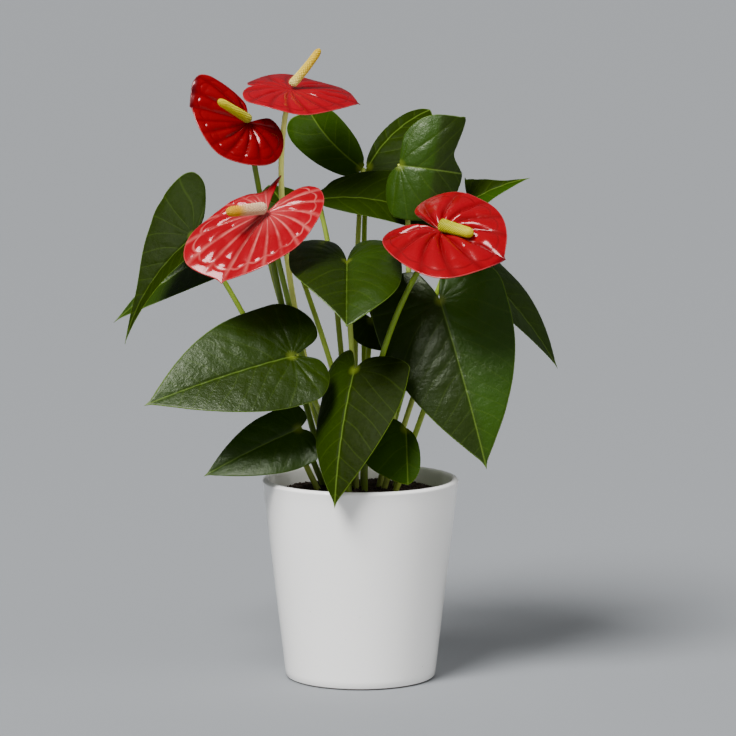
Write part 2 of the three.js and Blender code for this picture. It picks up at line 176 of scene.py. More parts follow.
# %% Helpers for meshes
def unit(vector):
    vector = np.asarray(vector, dtype=float)
    return vector / np.linalg.norm(vector)


def write_values(mesh, values):
    for key, numbers in values.items():
        layer = mesh.attributes.new(key, "FLOAT", "POINT")
        layer.data.foreach_set("value", np.asarray(numbers, dtype=np.float32))


def make_object(name, points, faces, materials, values=None, slots=None):
    mesh = bpy.data.meshes.new(name)
    mesh.from_pydata((np.asarray(points) * MM).tolist(), [], faces)
    write_values(mesh, values or {})
    for material in materials:
        mesh.materials.append(material)
    if slots is not None:
        mesh.polygons.foreach_set("material_index", slots)
    mesh.shade_smooth()
    return added(name, mesh)


def stand_for(piece, node_name):
    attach(piece, "root")
    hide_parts(node_name)


def ring_turns(sides):
    return np.arange(sides) * 2 * math.pi / sides


def capped_faces(rings, sides):
    """The faces of a stack of rings, closed by the first point and the last one."""
    following = [(j + 1) % sides for j in range(sides)]
    faces = []
    for start in range(1, 1 + (rings - 1) * sides, sides):
        above = start + sides
        faces += [(start + j, start + k, above + k, above + j) for j, k in enumerate(following)]
    last = rings * sides + 1
    for j, k in enumerate(following):
        faces += [(0, 1 + k, 1 + j), (last, last - sides + j, last - sides + k)]
    return faces


print("mesh helpers ready")

# %% [markdown]
# ## The pot
# A cast and glazed pot is a body of revolution: one profile turned round the axis. Its looks come
# from how round its edges are, so the profile has a round lip and a small chamfer at the foot.
# The glaze is thick and clear over white, with a few tiny dark specks, and a thin darker line at
# the foot is partly the unglazed foot and partly painted shadow where the pot stands.

# %% Turn the pot's profile
POT_HEIGHT, RIM_RADIUS, FOOT_RADIUS = 138, 67.5, 51.5
POT_WALL, POT_BOTTOM, FOOT_CHAMFER = 5, 8, 1.6
FOOT_RING = (8, 2.2, 0.9)  # how far in from the foot's edge the ring that it stands on lies
FOOT_RECESS = 0.4  # how high the bottom lies inside that ring
INSIDE_CORNER = 3  # mm, the chamfer where the inside meets the bottom
POT_SIDES, OUTER_STEPS, LIP_STEPS, INNER_STEPS = 160, 16, 11, 8
POT_SLOPE = (RIM_RADIUS - FOOT_RADIUS) / POT_HEIGHT


def outer_radius(height):
    return FOOT_RADIUS + POT_SLOPE * height


def pot_profile():
    lip = POT_WALL / 2
    inner, outer, rounded = (FOOT_RADIUS - inwards for inwards in FOOT_RING)
    profile = [(0, FOOT_RECESS), (inner - 1, FOOT_RECESS), (inner, 0), (outer, 0),
               (rounded, 0.35), (outer_radius(FOOT_CHAMFER), FOOT_CHAMFER)]
    profile += [(outer_radius(z), z) for z in np.linspace(6, POT_HEIGHT - lip, OUTER_STEPS)]
    for angle in np.radians(np.linspace(15, 165, LIP_STEPS)):
        profile.append((RIM_RADIUS - lip + lip * math.cos(angle),
                        POT_HEIGHT - lip + lip * math.sin(angle)))
    inside = np.linspace(POT_HEIGHT - lip, POT_BOTTOM + INSIDE_CORNER, INNER_STEPS)
    profile += [(outer_radius(z) - POT_WALL, z) for z in inside]
    corner = outer_radius(POT_BOTTOM) - POT_WALL - INSIDE_CORNER
    return profile + [(corner, POT_BOTTOM), (0, POT_BOTTOM)]


def turned(profile, sides):
    turns = ring_turns(sides)
    rings = [np.column_stack([r * np.cos(turns), r * np.sin(turns), np.full(sides, z)])
             for r, z in profile[1:-1]]
    points = np.vstack([[(0, 0, profile[0][1])], *rings, [(0, 0, profile[-1][1])]])
    return points, capped_faces(len(rings), sides)


print("profile points:", len(pot_profile()))

# %% Give the pot its glaze
SPECK_SCALE, SPECK_SIZE, SPECK_RARE = 210.0, 0.09, 0.93
BARE_FOOT_AND_SHADOW = 0.0011  # metres, from the bottom up


def glaze_material():
    material, tree, shader = new_material("white_glaze")
    specks = node(tree, "ShaderNodeTexVoronoi", {
        "Vector": object_place(tree), "Scale": SPECK_SCALE}).outputs
    small = sums(tree, "LESS_THAN", specks["Distance"], SPECK_SIZE)
    draw = node(tree, "ShaderNodeSeparateColor", {"Color": specks["Color"]}).outputs[0]
    dots = times(tree, small, sums(tree, "GREATER_THAN", draw, SPECK_RARE))
    height = node(tree, "ShaderNodeSeparateXYZ", {"Vector": object_place(tree)}).outputs["Z"]
    # A thin band at the foot is darker: partly the unglazed foot, partly painted shadow where the
    # pot stands on the floor.
    foot = sums(tree, "LESS_THAN", height, BARE_FOOT_AND_SHADOW)
    cloudy = ramp(tree, object_noise(tree, 9.0), [(0.3, (0.95, 0.935, 0.905)),
                                                  (0.7, (0.98, 0.965, 0.935))])
    color = blend_color(tree, times(tree, dots, 0.35), cloudy, (0.25, 0.22, 0.18))
    color = blend_color(tree, foot, color, (0.20, 0.18, 0.16))
    set_finish(tree, shader, {"Base Color": color, "Roughness": 0.22, "Coat Weight": 0.6,
                              "Coat Roughness": 0.08})
    bump(tree, shader, object_noise(tree, 26.0, 2.0), 0.12, 0.002)
    return material


pot_points, pot_faces = turned(pot_profile(), POT_SIDES)
pot = make_object("glazed_pot", pot_points, pot_faces, [glaze_material()])
stand_for(pot, "pot")
print("pot faces:", len(pot_faces))

# %% [markdown]
# ## The potting mix
# Houseplant mix is peat, bark and a little grit: a dark, uneven top with loose crumbs. A low
# mound makes the ground, and a Geometry Nodes tree scatters crumbs over it. One crumb is a small
# rough lump with few faces, because it is repeated many hundreds of times.

# %% Lay the ground of the mix
SOIL_EDGE, SOIL_RISE, SOIL_SUNK = 127, 5, 0.8
SOIL_CLEAR, SOIL_FOOT = 0.8, 4  # mm from the pot's inside, and how much more at the bottom
SOIL_RINGS, SOIL_SIDES = 36, 144


def soil_height(x, y):
    share = np.hypot(x, y) / (outer_radius(SOIL_EDGE) - POT_WALL)
    lumps = 0.9 * np.sin(0.31 * x + 1.3 * np.sin(0.23 * y)) * np.cos(0.37 * y + 0.4)
    fine = 0.45 * np.sin(0.83 * x + 2.1 * np.cos(0.71 * y)) + 0.3 * np.sin(1.9 * y + 1.7 * x)
    return SOIL_EDGE + SOIL_RISE * (1 - share ** 2) + lumps + fine - SOIL_SUNK


def soil_points(rings, sides):
    edge = outer_radius(SOIL_EDGE) - POT_WALL - SOIL_CLEAR
    turns = ring_turns(sides)
    bottom = POT_BOTTOM + 1
    low = outer_radius(bottom) - POT_WALL - SOIL_CLEAR - SOIL_FOOT
    rows = [[(0, 0, bottom)], np.column_stack([low * np.cos(turns), low * np.sin(turns),
                                               np.full(sides, bottom)])]
    for radius in np.linspace(edge, edge / rings, rings):
        x, y = radius * np.cos(turns), radius * np.sin(turns)
        rows.append(np.column_stack([x, y, soil_height(x, y)]))
    rows.append([(0, 0, float(soil_height(0.0, 0.0)))])
    return np.vstack(rows), capped_faces(rings + 1, sides)


print("the mix is", round(float(soil_height(0.0, 0.0)), 1), "mm high in the middle")

# %% Colour the mix
def soil_material():
    material, tree, shader = new_material("potting_mix")
    fine = object_noise(tree, 700.0, 6.0, 0.7)
    broad = object_noise(tree, 90.0)
    color = ramp(tree, fine, [(0.3, (0.012, 0.008, 0.006)), (0.5, (0.045, 0.027, 0.018)),
                              (0.75, (0.16, 0.10, 0.06))])
    color = blend_color(tree, times(tree, broad, 0.5), color, (0.02, 0.013, 0.01))
    set_finish(tree, shader, {"Base Color": color, "Roughness": 0.95})
    bump(tree, shader, fine, 0.8, 0.002)
    return material


soil_look = soil_material()
soil_grid, soil_faces = soil_points(SOIL_RINGS, SOIL_SIDES)
ground = make_object("potting_mix_ground", soil_grid, soil_faces, [soil_look])
print("ground points:", len(soil_grid))

# %% Build the tree that scatters crumbs
CRUMBS = {"Count Per Square Metre": 200000.0, "Smallest": 0.35, "Largest": 1.15,
          "Crumb Radius": 0.0013, "Lowest Height": 0.120, "Seed": 7}
CRUMB_ROUGH, CRUMB_LUMPS = 0.0016, 900.0
STEEPEST = 0.3  # a face that looks less far up than this gets no crumbs
FULL_TURN = 6.28


def new_tree(name, inputs, takes_mesh):
    tree = bpy.data.node_groups.new(name, "GeometryNodeTree")
    face = tree.interface
    if takes_mesh:
        face.new_socket("Geometry", in_out="INPUT", socket_type="NodeSocketGeometry")
    for key, value in inputs.items():
        kind = "NodeSocketInt" if isinstance(value, int) else "NodeSocketFloat"
        face.new_socket(key, in_out="INPUT", socket_type=kind).default_value = value
    face.new_socket("Geometry", in_out="OUTPUT", socket_type="NodeSocketGeometry")
    return (tree, tree.nodes.new("NodeGroupInput").outputs,
            tree.nodes.new("NodeGroupOutput").inputs[0])


def joined_geometry(tree, *parts):
    both = tree.nodes.new("GeometryNodeJoinGeometry")
    for part in parts:
        tree.links.new(part, both.inputs[0])
    return both.outputs[0]


def crumb_tree(material):
    tree, given, result = new_tree("scatter_crumbs", CRUMBS, takes_mesh=True)
    place = node(tree, "GeometryNodeInputPosition").outputs[0]
    height = node(tree, "ShaderNodeSeparateXYZ", {"Vector": place}).outputs["Z"]
    upward = node(tree, "ShaderNodeSeparateXYZ", {
        "Vector": node(tree, "GeometryNodeInputNormal").outputs[0]}).outputs["Z"]
    top = times(tree, sums(tree, "GREATER_THAN", height, given["Lowest Height"]),
                sums(tree, "GREATER_THAN", upward, STEEPEST))
    spots = node(tree, "GeometryNodeDistributePointsOnFaces", {
        "Mesh": given["Geometry"], "Selection": top, "Seed": given["Seed"],
        "Density": given["Count Per Square Metre"]})
    ball = node(tree, "GeometryNodeMeshIcoSphere", {"Radius": given["Crumb Radius"]})
    rough = node(tree, "ShaderNodeTexNoise", {"Scale": CRUMB_LUMPS, "Detail": 0.0})
    swell = times(tree, sums(tree, "SUBTRACT", rough.outputs["Fac"], 0.5), CRUMB_ROUGH)
    push = node(tree, "ShaderNodeVectorMath", {
        0: node(tree, "GeometryNodeInputNormal").outputs[0], "Scale": swell}, operation="SCALE")
    lump = node(tree, "GeometryNodeSetPosition", {
        "Geometry": ball.outputs[0], "Offset": push.outputs[0]})
    turn = node(tree, "FunctionNodeRandomValue", data_type="FLOAT_VECTOR")
    fill(tree, turn.inputs["Max"], (FULL_TURN, FULL_TURN, FULL_TURN))
    fill(tree, turn.inputs["Seed"], given["Seed"])
    size = node(tree, "FunctionNodeRandomValue", data_type="FLOAT")
    fill(tree, size.inputs[2], given["Smallest"])
    fill(tree, size.inputs[3], given["Largest"])
    fill(tree, size.inputs["Seed"], given["Seed"])
    copies = node(tree, "GeometryNodeInstanceOnPoints", {
        "Points": spots.outputs["Points"], "Instance": lump.outputs[0],
        "Rotation": turn.outputs[0], "Scale": size.outputs[1]})
    real = node(tree, "GeometryNodeRealizeInstances", {0: copies.outputs[0]})
    painted = node(tree, "GeometryNodeSetMaterial", {
        "Geometry": real.outputs[0], "Material": material})
    tree.links.new(joined_geometry(tree, given["Geometry"], painted.outputs[0]), result)
    return tree


print("inputs of the crumbs:", ", ".join(CRUMBS))

# %% Run it and keep the result as a plain mesh
def applied(source, name, tree, values):
    modifier = source.modifiers.new("made", "NODES")
    modifier.node_group = tree
    for item in tree.interface.items_tree:
        if item.in_out == "INPUT" and item.name in values:
            modifier[item.identifier] = values[item.name]
    evaluated = source.evaluated_get(bpy.context.evaluated_depsgraph_get())
    mesh = bpy.data.meshes.new_from_object(evaluated)
    mesh.name = name
    made = added(name, mesh)
    source.modifiers.remove(modifier)
    bpy.data.objects.remove(source)
    return made


mix = applied(ground, "potting_mix_top", crumb_tree(soil_look), CRUMBS)
stand_for(mix, "potting_mix")
print("mix faces:", len(mix.data.polygons))

# %% [markdown]
# ## How a blade is shaped
# An anthurium's leaf and its red spathe are both heart shapes that hang from a point near the
# notch. Each starts as a flat half outline, gets its own size on each side of the midrib, and is
# then bent: each half lifts from the midrib by its fold and rounds off by its curl, the midrib
# itself arches, and the margin waves. The sizes are the ones that the solids have, so that a
# finer blade lies exactly where the plain one is.

# %% Outlines and the numbers of each blade
# [along, across]: along is 1 at the tip, 0 at the stem and -1 at the end of the lobe.
LEAF_OUTLINE = (
    (1, 0), (0.95, 0.05), (0.87, 0.2), (0.7, 0.5), (0.5, 0.77), (0.28, 0.95), (0.02, 1),
    (-0.35, 0.95), (-0.75, 0.77), (-1, 0.5), (-0.92, 0.22), (-0.45, 0.07), (-0.05, 0))
BROAD = (
    (1, 0), (0.97, 0.18), (0.88, 0.46), (0.74, 0.74), (0.55, 0.93), (0.3, 1), (0, 0.98),
    (-0.4, 0.88), (-0.8, 0.68), (-1, 0.46), (-0.92, 0.22), (-0.45, 0.07), (-0.05, 0))
WEDGE = (
    (1, 0), (0.97, 0.25), (0.9, 0.6), (0.77, 0.9), (0.6, 1), (0.42, 0.97), (0.27, 0.85),
    (0.14, 0.63), (0.05, 0.4), (0, 0.2), (-0.2, 0.1), (-0.3, 0.04), (-0.05, 0))
LOBED = (
    (1, 0), (0.85, 0.04), (0.64, 0.13), (0.5, 0.25), (0.38, 0.4), (0.18, 0.68), (0, 0.9),
    (-0.4, 1), (-0.8, 1.02), (-1, 0.9), (-0.95, 0.6), (-0.5, 0.18), (-0.05, 0))
BLUNT = (
    (1, 0), (1.02, 0.3), (1.03, 0.65), (0.96, 0.92), (0.82, 1), (0.65, 0.95), (0.45, 0.84),
    (0.25, 0.68), (0.1, 0.5), (0.02, 0.25), (-0.1, 0.12), (-0.2, 0.05), (-0.05, 0))
SHOULDER = (
    (1, 0), (0.8, 0.27), (0.82, 0.5), (0.94, 0.97), (0.83, 1), (0.65, 1), (0.45, 0.98),
    (0.28, 0.91), (0.12, 0.76), (0, 0.55), (-0.1, 0.32), (-0.1, 0.12), (-0.05, 0))
ROLLED = (
    (1, 0), (0.97, 0.14), (0.96, 0.5), (0.9, 0.78), (0.74, 0.95), (0.52, 1), (0.28, 0.9),
    (0.02, 0.74), (-0.28, 0.52), (-0.48, 0.32), (-1, 0.27), (-0.3, 0.12), (-0.05, 0))
CLOSED = (
    (1, 0), (0.96, 0.04), (0.91, 0.17), (0.78, 0.47), (0.58, 0.76), (0.34, 0.95), (0.06, 1),
    (-0.35, 0.97), (-0.75, 0.78), (-1, 0.45), (-0.98, 0.15), (-0.6, 0.03), (-0.05, 0))
CROSSING = (
    (1, 0), (0.96, 0.04), (0.91, 0.17), (0.78, 0.47), (0.56, 0.78), (0.3, 0.96), (-0.1, 1),
    (-0.55, 0.9), (-0.88, 0.65), (-1, 0.3), (-0.88, -0.05), (-0.5, -0.24), (-0.05, 0))
SPATHE_OUTLINE = (
    (1, 0), (0.96, 0.04), (0.91, 0.17), (0.78, 0.47), (0.58, 0.76), (0.34, 0.95), (0.06, 1),
    (-0.3, 0.97), (-0.7, 0.82), (-1, 0.55), (-0.95, 0.26), (-0.45, 0.08), (-0.05, 0))
# Millimetres and degrees. The stem leaves the mix at root in the direction up, and comes to the
# blade from arrive. The blade goes from at to tip and looks towards face. Pairs are left and
# right, seen from above and from the stem: half widths, lengths of the lobes, fold and curl.
PLAIN = dict(up=(0, 0, 1), arrive=None, bend=20, sweep=0, fold=(8, 8), curl=(-12, -12),
             wave=1.2)
LEAVES = {
    "leaf_front": dict(root=(-6, -17), up=(-0.1, 0.1, 1), at=(-4, -36, 217),
        tip=(-17, -82, 130), face=(-0.35, -0.9, 0.3), halves=(40, 34), lobes=(10, 20), bend=26,
        fold=(6, -14), curl=(-10, -40)),
    "leaf_left": dict(root=(-14, -9), up=(-0.1, 0.05, 1), arrive=(0.4, 0.3, -1),
        at=(-46, -36, 226), tip=(-144, -62, 196), face=(-0.1, -0.88, 0.5), halves=(40, 42),
        lobes=(18, 24), bend=18, fold=(16, 8), curl=(-12, -18)),
    "leaf_left_low": dict(root=(-21, -4), up=(-0.5, 0, 1), at=(-42, -24, 175),
        tip=(-106, -34, 144), face=(-0.1, -0.8, 0.55), halves=(27, 20), lobes=(7, 9), bend=14,
        fold=(4, 14)),
    "leaf_centre": dict(root=(-3, -9), arrive=(0, 0.35, -1), at=(-9, -28, 289),
        tip=(-9, -90, 252), face=(0, -0.3, 0.95), halves=(38, 40), lobes=(37, 36), bend=26,
        fold=(28, 26), curl=(-45, -40), outlines=(BROAD, LEAF_OUTLINE)),
    "leaf_right": dict(root=(11, -8), up=(0.3, 0, 1), at=(54, -18, 262), tip=(85, -48, 151),
        face=(0.1, -0.95, 0.3), halves=(45, 48), lobes=(28, 27), bend=22, fold=(8, -5)),
    "leaf_right_back": dict(root=(17, 5), up=(0.4, 0.1, 1), at=(81, 30, 280),
        tip=(137, 36, 209), face=(0.6, -0.4, 0.7), halves=(30, 30), lobes=(18, 18)),
    "leaf_right_top": dict(root=(10, 8), up=(0.2, 0, 1), arrive=(-0.3, 0, -1), at=(74, 8, 327),
        tip=(115, -4, 344), face=(-0.2, -0.3, 0.92), halves=(27, 14), lobes=(1, 9),
        fold=(24, -10), outlines=(LOBED, LEAF_OUTLINE)),
    "leaf_top_bright": dict(root=(9, 0), up=(0.22, 0.1, 1), arrive=(0.25, -0.1, -1),
        at=(27, -10, 353), tip=(69, -6, 347), face=(-0.05, -1, 0.1), halves=(38, 36),
        lobes=(8, 9), bend=75, fold=(4, 4), outlines=(SHOULDER, BROAD)),
    "leaf_top_dark": dict(root=(-3, 5), up=(-0.1, 0, 1), arrive=(0.35, 0.05, -1),
        at=(-29, 18, 328), tip=(60, 18, 308), face=(0, -0.5, 0.85), halves=(38, 22),
        lobes=(4, 6), bend=50, fold=(10, 4), curl=(-10, -12), outlines=(BLUNT, WEDGE)),
    "leaf_top_back": dict(root=(3, 11), up=(0, 0.1, 1), arrive=(-0.12, -0.4, -1),
        at=(5, 62, 347), tip=(49, 90, 386), face=(-0.3, -0.85, 0.4), halves=(7, 30),
        lobes=(0.5, 14), sweep=-30, outlines=(WEDGE, BROAD)),
    "leaf_top_left": dict(root=(-4, 13), up=(0, 0.1, 1), arrive=(-0.12, -0.4, -1),
        at=(1, 52, 347), tip=(-36, 79, 386), face=(-0.1, -0.95, 0), halves=(22, 16),
        lobes=(1, 1), bend=30, sweep=-20, fold=(0, 0), wave=2.5, outlines=(BLUNT, WEDGE)),
    "leaf_far_left": dict(root=(-19, 11), up=(-0.4, 0, 1), arrive=(0.58, 0.15, -0.8),
        at=(-114, 10, 303), tip=(-161, 0, 230), face=(-0.45, -0.85, 0.1), halves=(24, 43),
        lobes=(6, 30), sweep=32, fold=(50, 2), outlines=(LEAF_OUTLINE, LOBED)),
    "leaf_far_left_back": dict(root=(-12, 15), up=(-0.3, 0.2, 1), at=(-68, 46, 308),
        tip=(-172, 46, 240), face=(0, -0.5, 0.85), halves=(34, 22), lobes=(18, 18)),
    "leaf_back": dict(root=(-3, 20), up=(-0.1, 0.4, 1), at=(-50, 72, 313), tip=(-66, 106, 332),
        face=(0, -0.4, 0.85), halves=(19, 19), lobes=(14, 14)),
    "leaf_right_small": dict(root=(2, -1.5), up=(0, 0.1, 1), at=(8, 2, 247), tip=(22, 6, 224),
        face=(-0.1, -0.8, 0.5), halves=(16, 18), lobes=(10, 10)),
    "leaf_low": dict(root=(17, -14), up=(0.4, -0.1, 1), at=(31, -31, 176), tip=(32, -52, 141),
        face=(0, -0.8, 0.5), halves=(9, 32), lobes=(2, 8), bend=16, outlines=(WEDGE, BROAD)),
}

BLOOMS = {
    "left": dict(root=(-9, -2), up=(-0.3, 0, 1), arrive=(0.15, 0.6, -0.7), at=(-63, -30, 322),
        tip=(-92, -66, 278), face=(-0.39, -0.87, 0.36), halves=(40, 39), lobes=(33, 31),
        bend=12, fold=(6, 4), curl=(0, 0), outlines=(SPATHE_OUTLINE, ROLLED),
        spadix=(-0.7, -0.7, -0.02), spadix_length=34, spadix_radius=4),
    "top": dict(root=(-10, 6), up=(-0.3, 0.1, 1), arrive=(-0.3, 0.05, -1), at=(-47, 0, 404),
        tip=(0, -6, 394), face=(0.05, -0.3, 0.95), halves=(37, 34), lobes=(34, 27), bend=10,
        fold=(-6, -6), curl=(0, 0), outlines=(CLOSED, CLOSED), spadix=(0.6, 0, 0.75),
        spadix_length=31, spadix_radius=2.8),
    "top_left": dict(root=(-16, 3), up=(-0.3, 0, 1), arrive=(0.2, 0.2, -1), at=(-76, -10, 382),
        tip=(-115, -16, 393), face=(0.15, -0.85, 0.5), halves=(33, 25), lobes=(28, 3), bend=10,
        fold=(5, 5), curl=(0, 0), outlines=(CROSSING, BLUNT), spadix=(-0.62, -0.6, 0.42),
        spadix_length=31, spadix_radius=3),
    "right": dict(root=(3, -16), up=(0, -0.06, 1), arrive=(-0.6, 0.05, -0.83),
        at=(54, -50, 312), tip=(96, -76, 295), face=(0, -0.6, 0.8), halves=(38, 43),
        lobes=(31, 34), bend=14, fold=(6, 0), curl=(0, 0), outlines=(SPATHE_OUTLINE, BROAD),
        spadix=(0.85, -0.45, -0.21), spadix_length=25, spadix_radius=4.1),
}


def whole_form(numbers, outline):
    return {**PLAIN, "outlines": (outline, outline), **numbers}


print(len(LEAVES), "leaves,", len(BLOOMS), "blooms")

# %% [markdown]
# ## From flat to bent
# The same few lines of geometry as a paper heart: every flat point is turned across the midrib
# first and along the arch of the midrib after that. numpy bends all points of a blade at once.

# %% Bend flat points
WAVES = 4
FLAT = 0.1  # the least turn of a curve, in degrees
RIPPLE_END = 1.2  # past this share of a half's width the waves grow no higher


def blade_frame(form):
    at, tip = np.array(form["at"], float), np.array(form["tip"], float)
    reach = np.linalg.norm(tip - at)
    ahead = (tip - at) / reach
    left = unit(np.cross(form["face"], ahead))
    turn = math.radians(form["bend"])
    radius = reach / (2 * math.sin(turn / 2))
    return dict(at=at, ahead=ahead, left=left, above=np.cross(ahead, left), turn=turn,
                radius=radius, length=radius * turn, reach=reach,
                swing=math.radians(form["sweep"] or FLAT) / 2)


def bent(form, base, along, across):
    share = along / base["length"]
    left = across > 0
    width, fold, curl = (np.where(left, *form[key]).astype(float)
                         for key in ("halves", "fold", "curl"))
    out = np.abs(across)
    start = np.radians(fold)
    bow = np.radians(np.where(curl == 0, FLAT, curl)) / width
    end = start + bow * out
    sideways = (np.sin(end) - np.sin(start)) / bow * np.where(left, 1, -1)
    edge = np.minimum(np.hypot(share, out / width), RIPPLE_END)
    ripple = form["wave"] * np.sin(WAVES * np.arctan2(out, along)) * edge ** 2
    up = (np.cos(start) - np.cos(end)) / bow + ripple
    lean = base["turn"] / 2 - along / base["radius"]
    on = base["radius"] * (math.sin(base["turn"] / 2) - np.sin(lean)) - up * np.sin(lean)
    over = base["radius"] * (np.cos(lean) - math.cos(base["turn"] / 2)) + up * np.cos(lean)
    swing = base["swing"]
    round_sweep = base["reach"] / (2 * math.sin(swing))
    way = swing * (2 * np.maximum(on, 0) / base["reach"] - 1)
    straight = np.minimum(on, 0)  # a lobe isn't swept
    swept = round_sweep * (np.sin(way) + math.sin(swing)) + straight * np.cos(way)
    aside = round_sweep * (math.cos(swing) - np.cos(way)) + straight * np.sin(way)
    swept = swept - sideways * np.sin(way)
    aside = aside + sideways * np.cos(way)
    return (base["at"] + swept[:, None] * base["ahead"] + over[:, None] * base["above"]
            + aside[:, None] * base["left"])


def normals(form, base, along, across, step=0.4):
    outward = np.where(across < 0, -step, step)
    here = bent(form, base, along, across)
    ahead = bent(form, base, along + step, across) - here
    beside = bent(form, base, along, across + outward) - here
    way = np.cross(ahead, beside) * np.sign(outward)[:, None]
    return way / np.linalg.norm(way, axis=1)[:, None]


front_leaf = blade_frame(whole_form(LEAVES["leaf_front"], LEAF_OUTLINE))
print("the front leaf's midrib is", round(front_leaf["length"]), "mm long")

# %% Draw the outline finely
def catmull(table, count):
    table = np.array([table[0], *table, table[-1]], float)
    place = np.linspace(0, len(table) - 3, count + 1)
    index = np.minimum(place.astype(int), len(table) - 4)
    w = (place - index)[:, None]
    before, here, after, later = (table[index + i] for i in range(4))
    start, end = (after - before) / 2, (later - here) / 2
    return ((2 * here - 2 * after + start + end) * w ** 3
            + (3 * after - 3 * here - 2 * start - end) * w ** 2 + start * w + here)


def flat_outline(form, length, count):
    sides = []
    for i in (0, 1):
        half = catmull(form["outlines"][i], count // 2)
        along = half[:, 0] * np.where(half[:, 0] > 0, length, form["lobes"][i])
        sides.append(np.column_stack([along, half[:, 1] * form["halves"][i]]))
    return np.vstack([sides[0][::-1], sides[1][1:-1] * (1, -1)])


print("outline points:", len(catmull(LEAF_OUTLINE, 60)))

# %% [markdown]
# ## Veins
# A leaf has a midrib, side veins that leave it at a slant and run forward, and a few more that
# fan out from the stem into the lobes. A spathe's veins all fan out from the stem. A smooth
# number that grows by one from each vein to the next is enough for both: whole numbers are veins,
# and halves are the cushions between them. The mesh sinks at the veins and swells between them,
# and the material draws fine lines from the same number: pale veins on a leaf, and on most spathes
# dark lines of painted shade in the creases.

# %% Number the veins
VEIN_SPACING, VEIN_SLOPE, VEIN_BOW = 13.0, 0.75, 0.006  # mm, and how far forward a vein runs
LOBE_SPREAD, SPATHE_LEAN = 24, 26  # degrees between a lobe's veins, and how far a spathe's bend
VEIN_WANDER, STEADY = 0.16, 12  # a share of the spacing, and the mm over which it sets in


def leaf_veins(along, across, length):
    out = np.abs(across)
    forward = VEIN_SLOPE * out + VEIN_BOW * out ** 2
    origin = along - forward + 0.5
    fan = (np.arctan2(out, along) - np.arctan2(out, forward)) / math.radians(LOBE_SPREAD)
    number = np.where(origin >= 0, origin / VEIN_SPACING, -np.maximum(fan, 0))
    left = np.where(across > 0, 1.0, 0.0)
    wander = VEIN_WANDER * np.sin(0.10 * out + 1.9 * number + 2.2 * left)
    return number + wander * np.minimum(out / STEADY, 1)


def spathe_veins(spread):
    def number(along, across, length):
        out = np.abs(across)
        reach = np.hypot(along, out) / length
        angle = np.degrees(np.arctan2(out, along))
        return (angle + SPATHE_LEAN * reach * np.sin(np.radians(angle))) / spread
    return number


BROAD_TOP = 0.7  # a power below 1 makes the top of a swelling broad


def cushion(number):
    apart = np.abs(number - np.round(number)) * 2
    return np.sin(apart * math.pi / 2) ** BROAD_TOP


LOOP_AT, LOOP_ARCH, LOOP_WIDTH = 0.82, 0.06, 0.03  # shares of the way to the margin


def loop_distance(number, edge):
    """How far a point is from the vein that runs in arches along the margin."""
    return edge - (LOOP_AT + LOOP_ARCH * np.abs(np.sin(math.pi * number)))


LEAF_PUFF = 0.55  # height of the cushions between a leaf's veins
# Vein spacing in degrees, height of the cushions, how far blisters part them, how deep the
# vein along the margin lies, and how late the cushions fall to the margin.
SPATHES = {
    "left": dict(spread=19.0, puff=1.9, parted=0.45, looped=0.5, late=6),
    "top": dict(spread=24.0, puff=1.8, parted=0.4, looped=0.3, late=5),
    "top_left": dict(spread=22.0, puff=2.2, parted=0.5, looped=0.4, late=6),
    "right": dict(spread=31.0, puff=5.2, parted=0.2, looped=0.1, late=2.2),
}
SPADIX_CLEARS, FLATTENED = 6.0, 0.8  # mm beside a spadix where its spathe is flat, and how flat


def leaf_relief(form, base, number, along, across, edge):
    wavy = 0.8 + 0.3 * np.sin(np.hypot(along, across) * 0.33 + 2.1 * number)
    return LEAF_PUFF * cushion(number) * wavy * (1 - edge ** 6)


def spathe_relief(form, base, number, along, across, edge):
    row = np.round(number + 0.5)
    blister = np.abs(np.sin(np.hypot(along, across) * 0.17 + 1.7 * row)) ** BROAD_TOP
    axis = unit(form["spadix"])
    lie = unit((np.dot(axis, base["ahead"]), np.dot(axis, base["left"])))
    under = np.clip(along * lie[0] + across * lie[1], 0, form["spadix_length"])
    beside = np.hypot(along - under * lie[0], across - under * lie[1])
    flat = 1 - FLATTENED * np.exp(-(beside / SPADIX_CLEARS) ** 2)
    dip = 1 - form["looped"] * np.exp(-(loop_distance(number, edge) / LOOP_WIDTH) ** 2)
    height = form["puff"] * cushion(number) * (1 - form["parted"] * (1 - blister))
    return height * flat * dip * (1 - edge ** form["late"])


print("cushions in mm:", LEAF_PUFF, [spathe["puff"] for spathe in SPATHES.values()])

# %% Make one blade, with its relief
RIM_THIN = 0.45  # a blade's margin keeps this share of its thickness
BESIDE = 0.01  # mm, just off the midrib, where a blade's halves meet
RIB_SINK, RIB_WIDTH = 0.5, 1.3
UNDER_SWELL, UNDER_RIB = 0.8, 1.2  # how far the underside follows the face
SMOOTH_MIDDLE = 16  # mm from the stem to the first full cushion


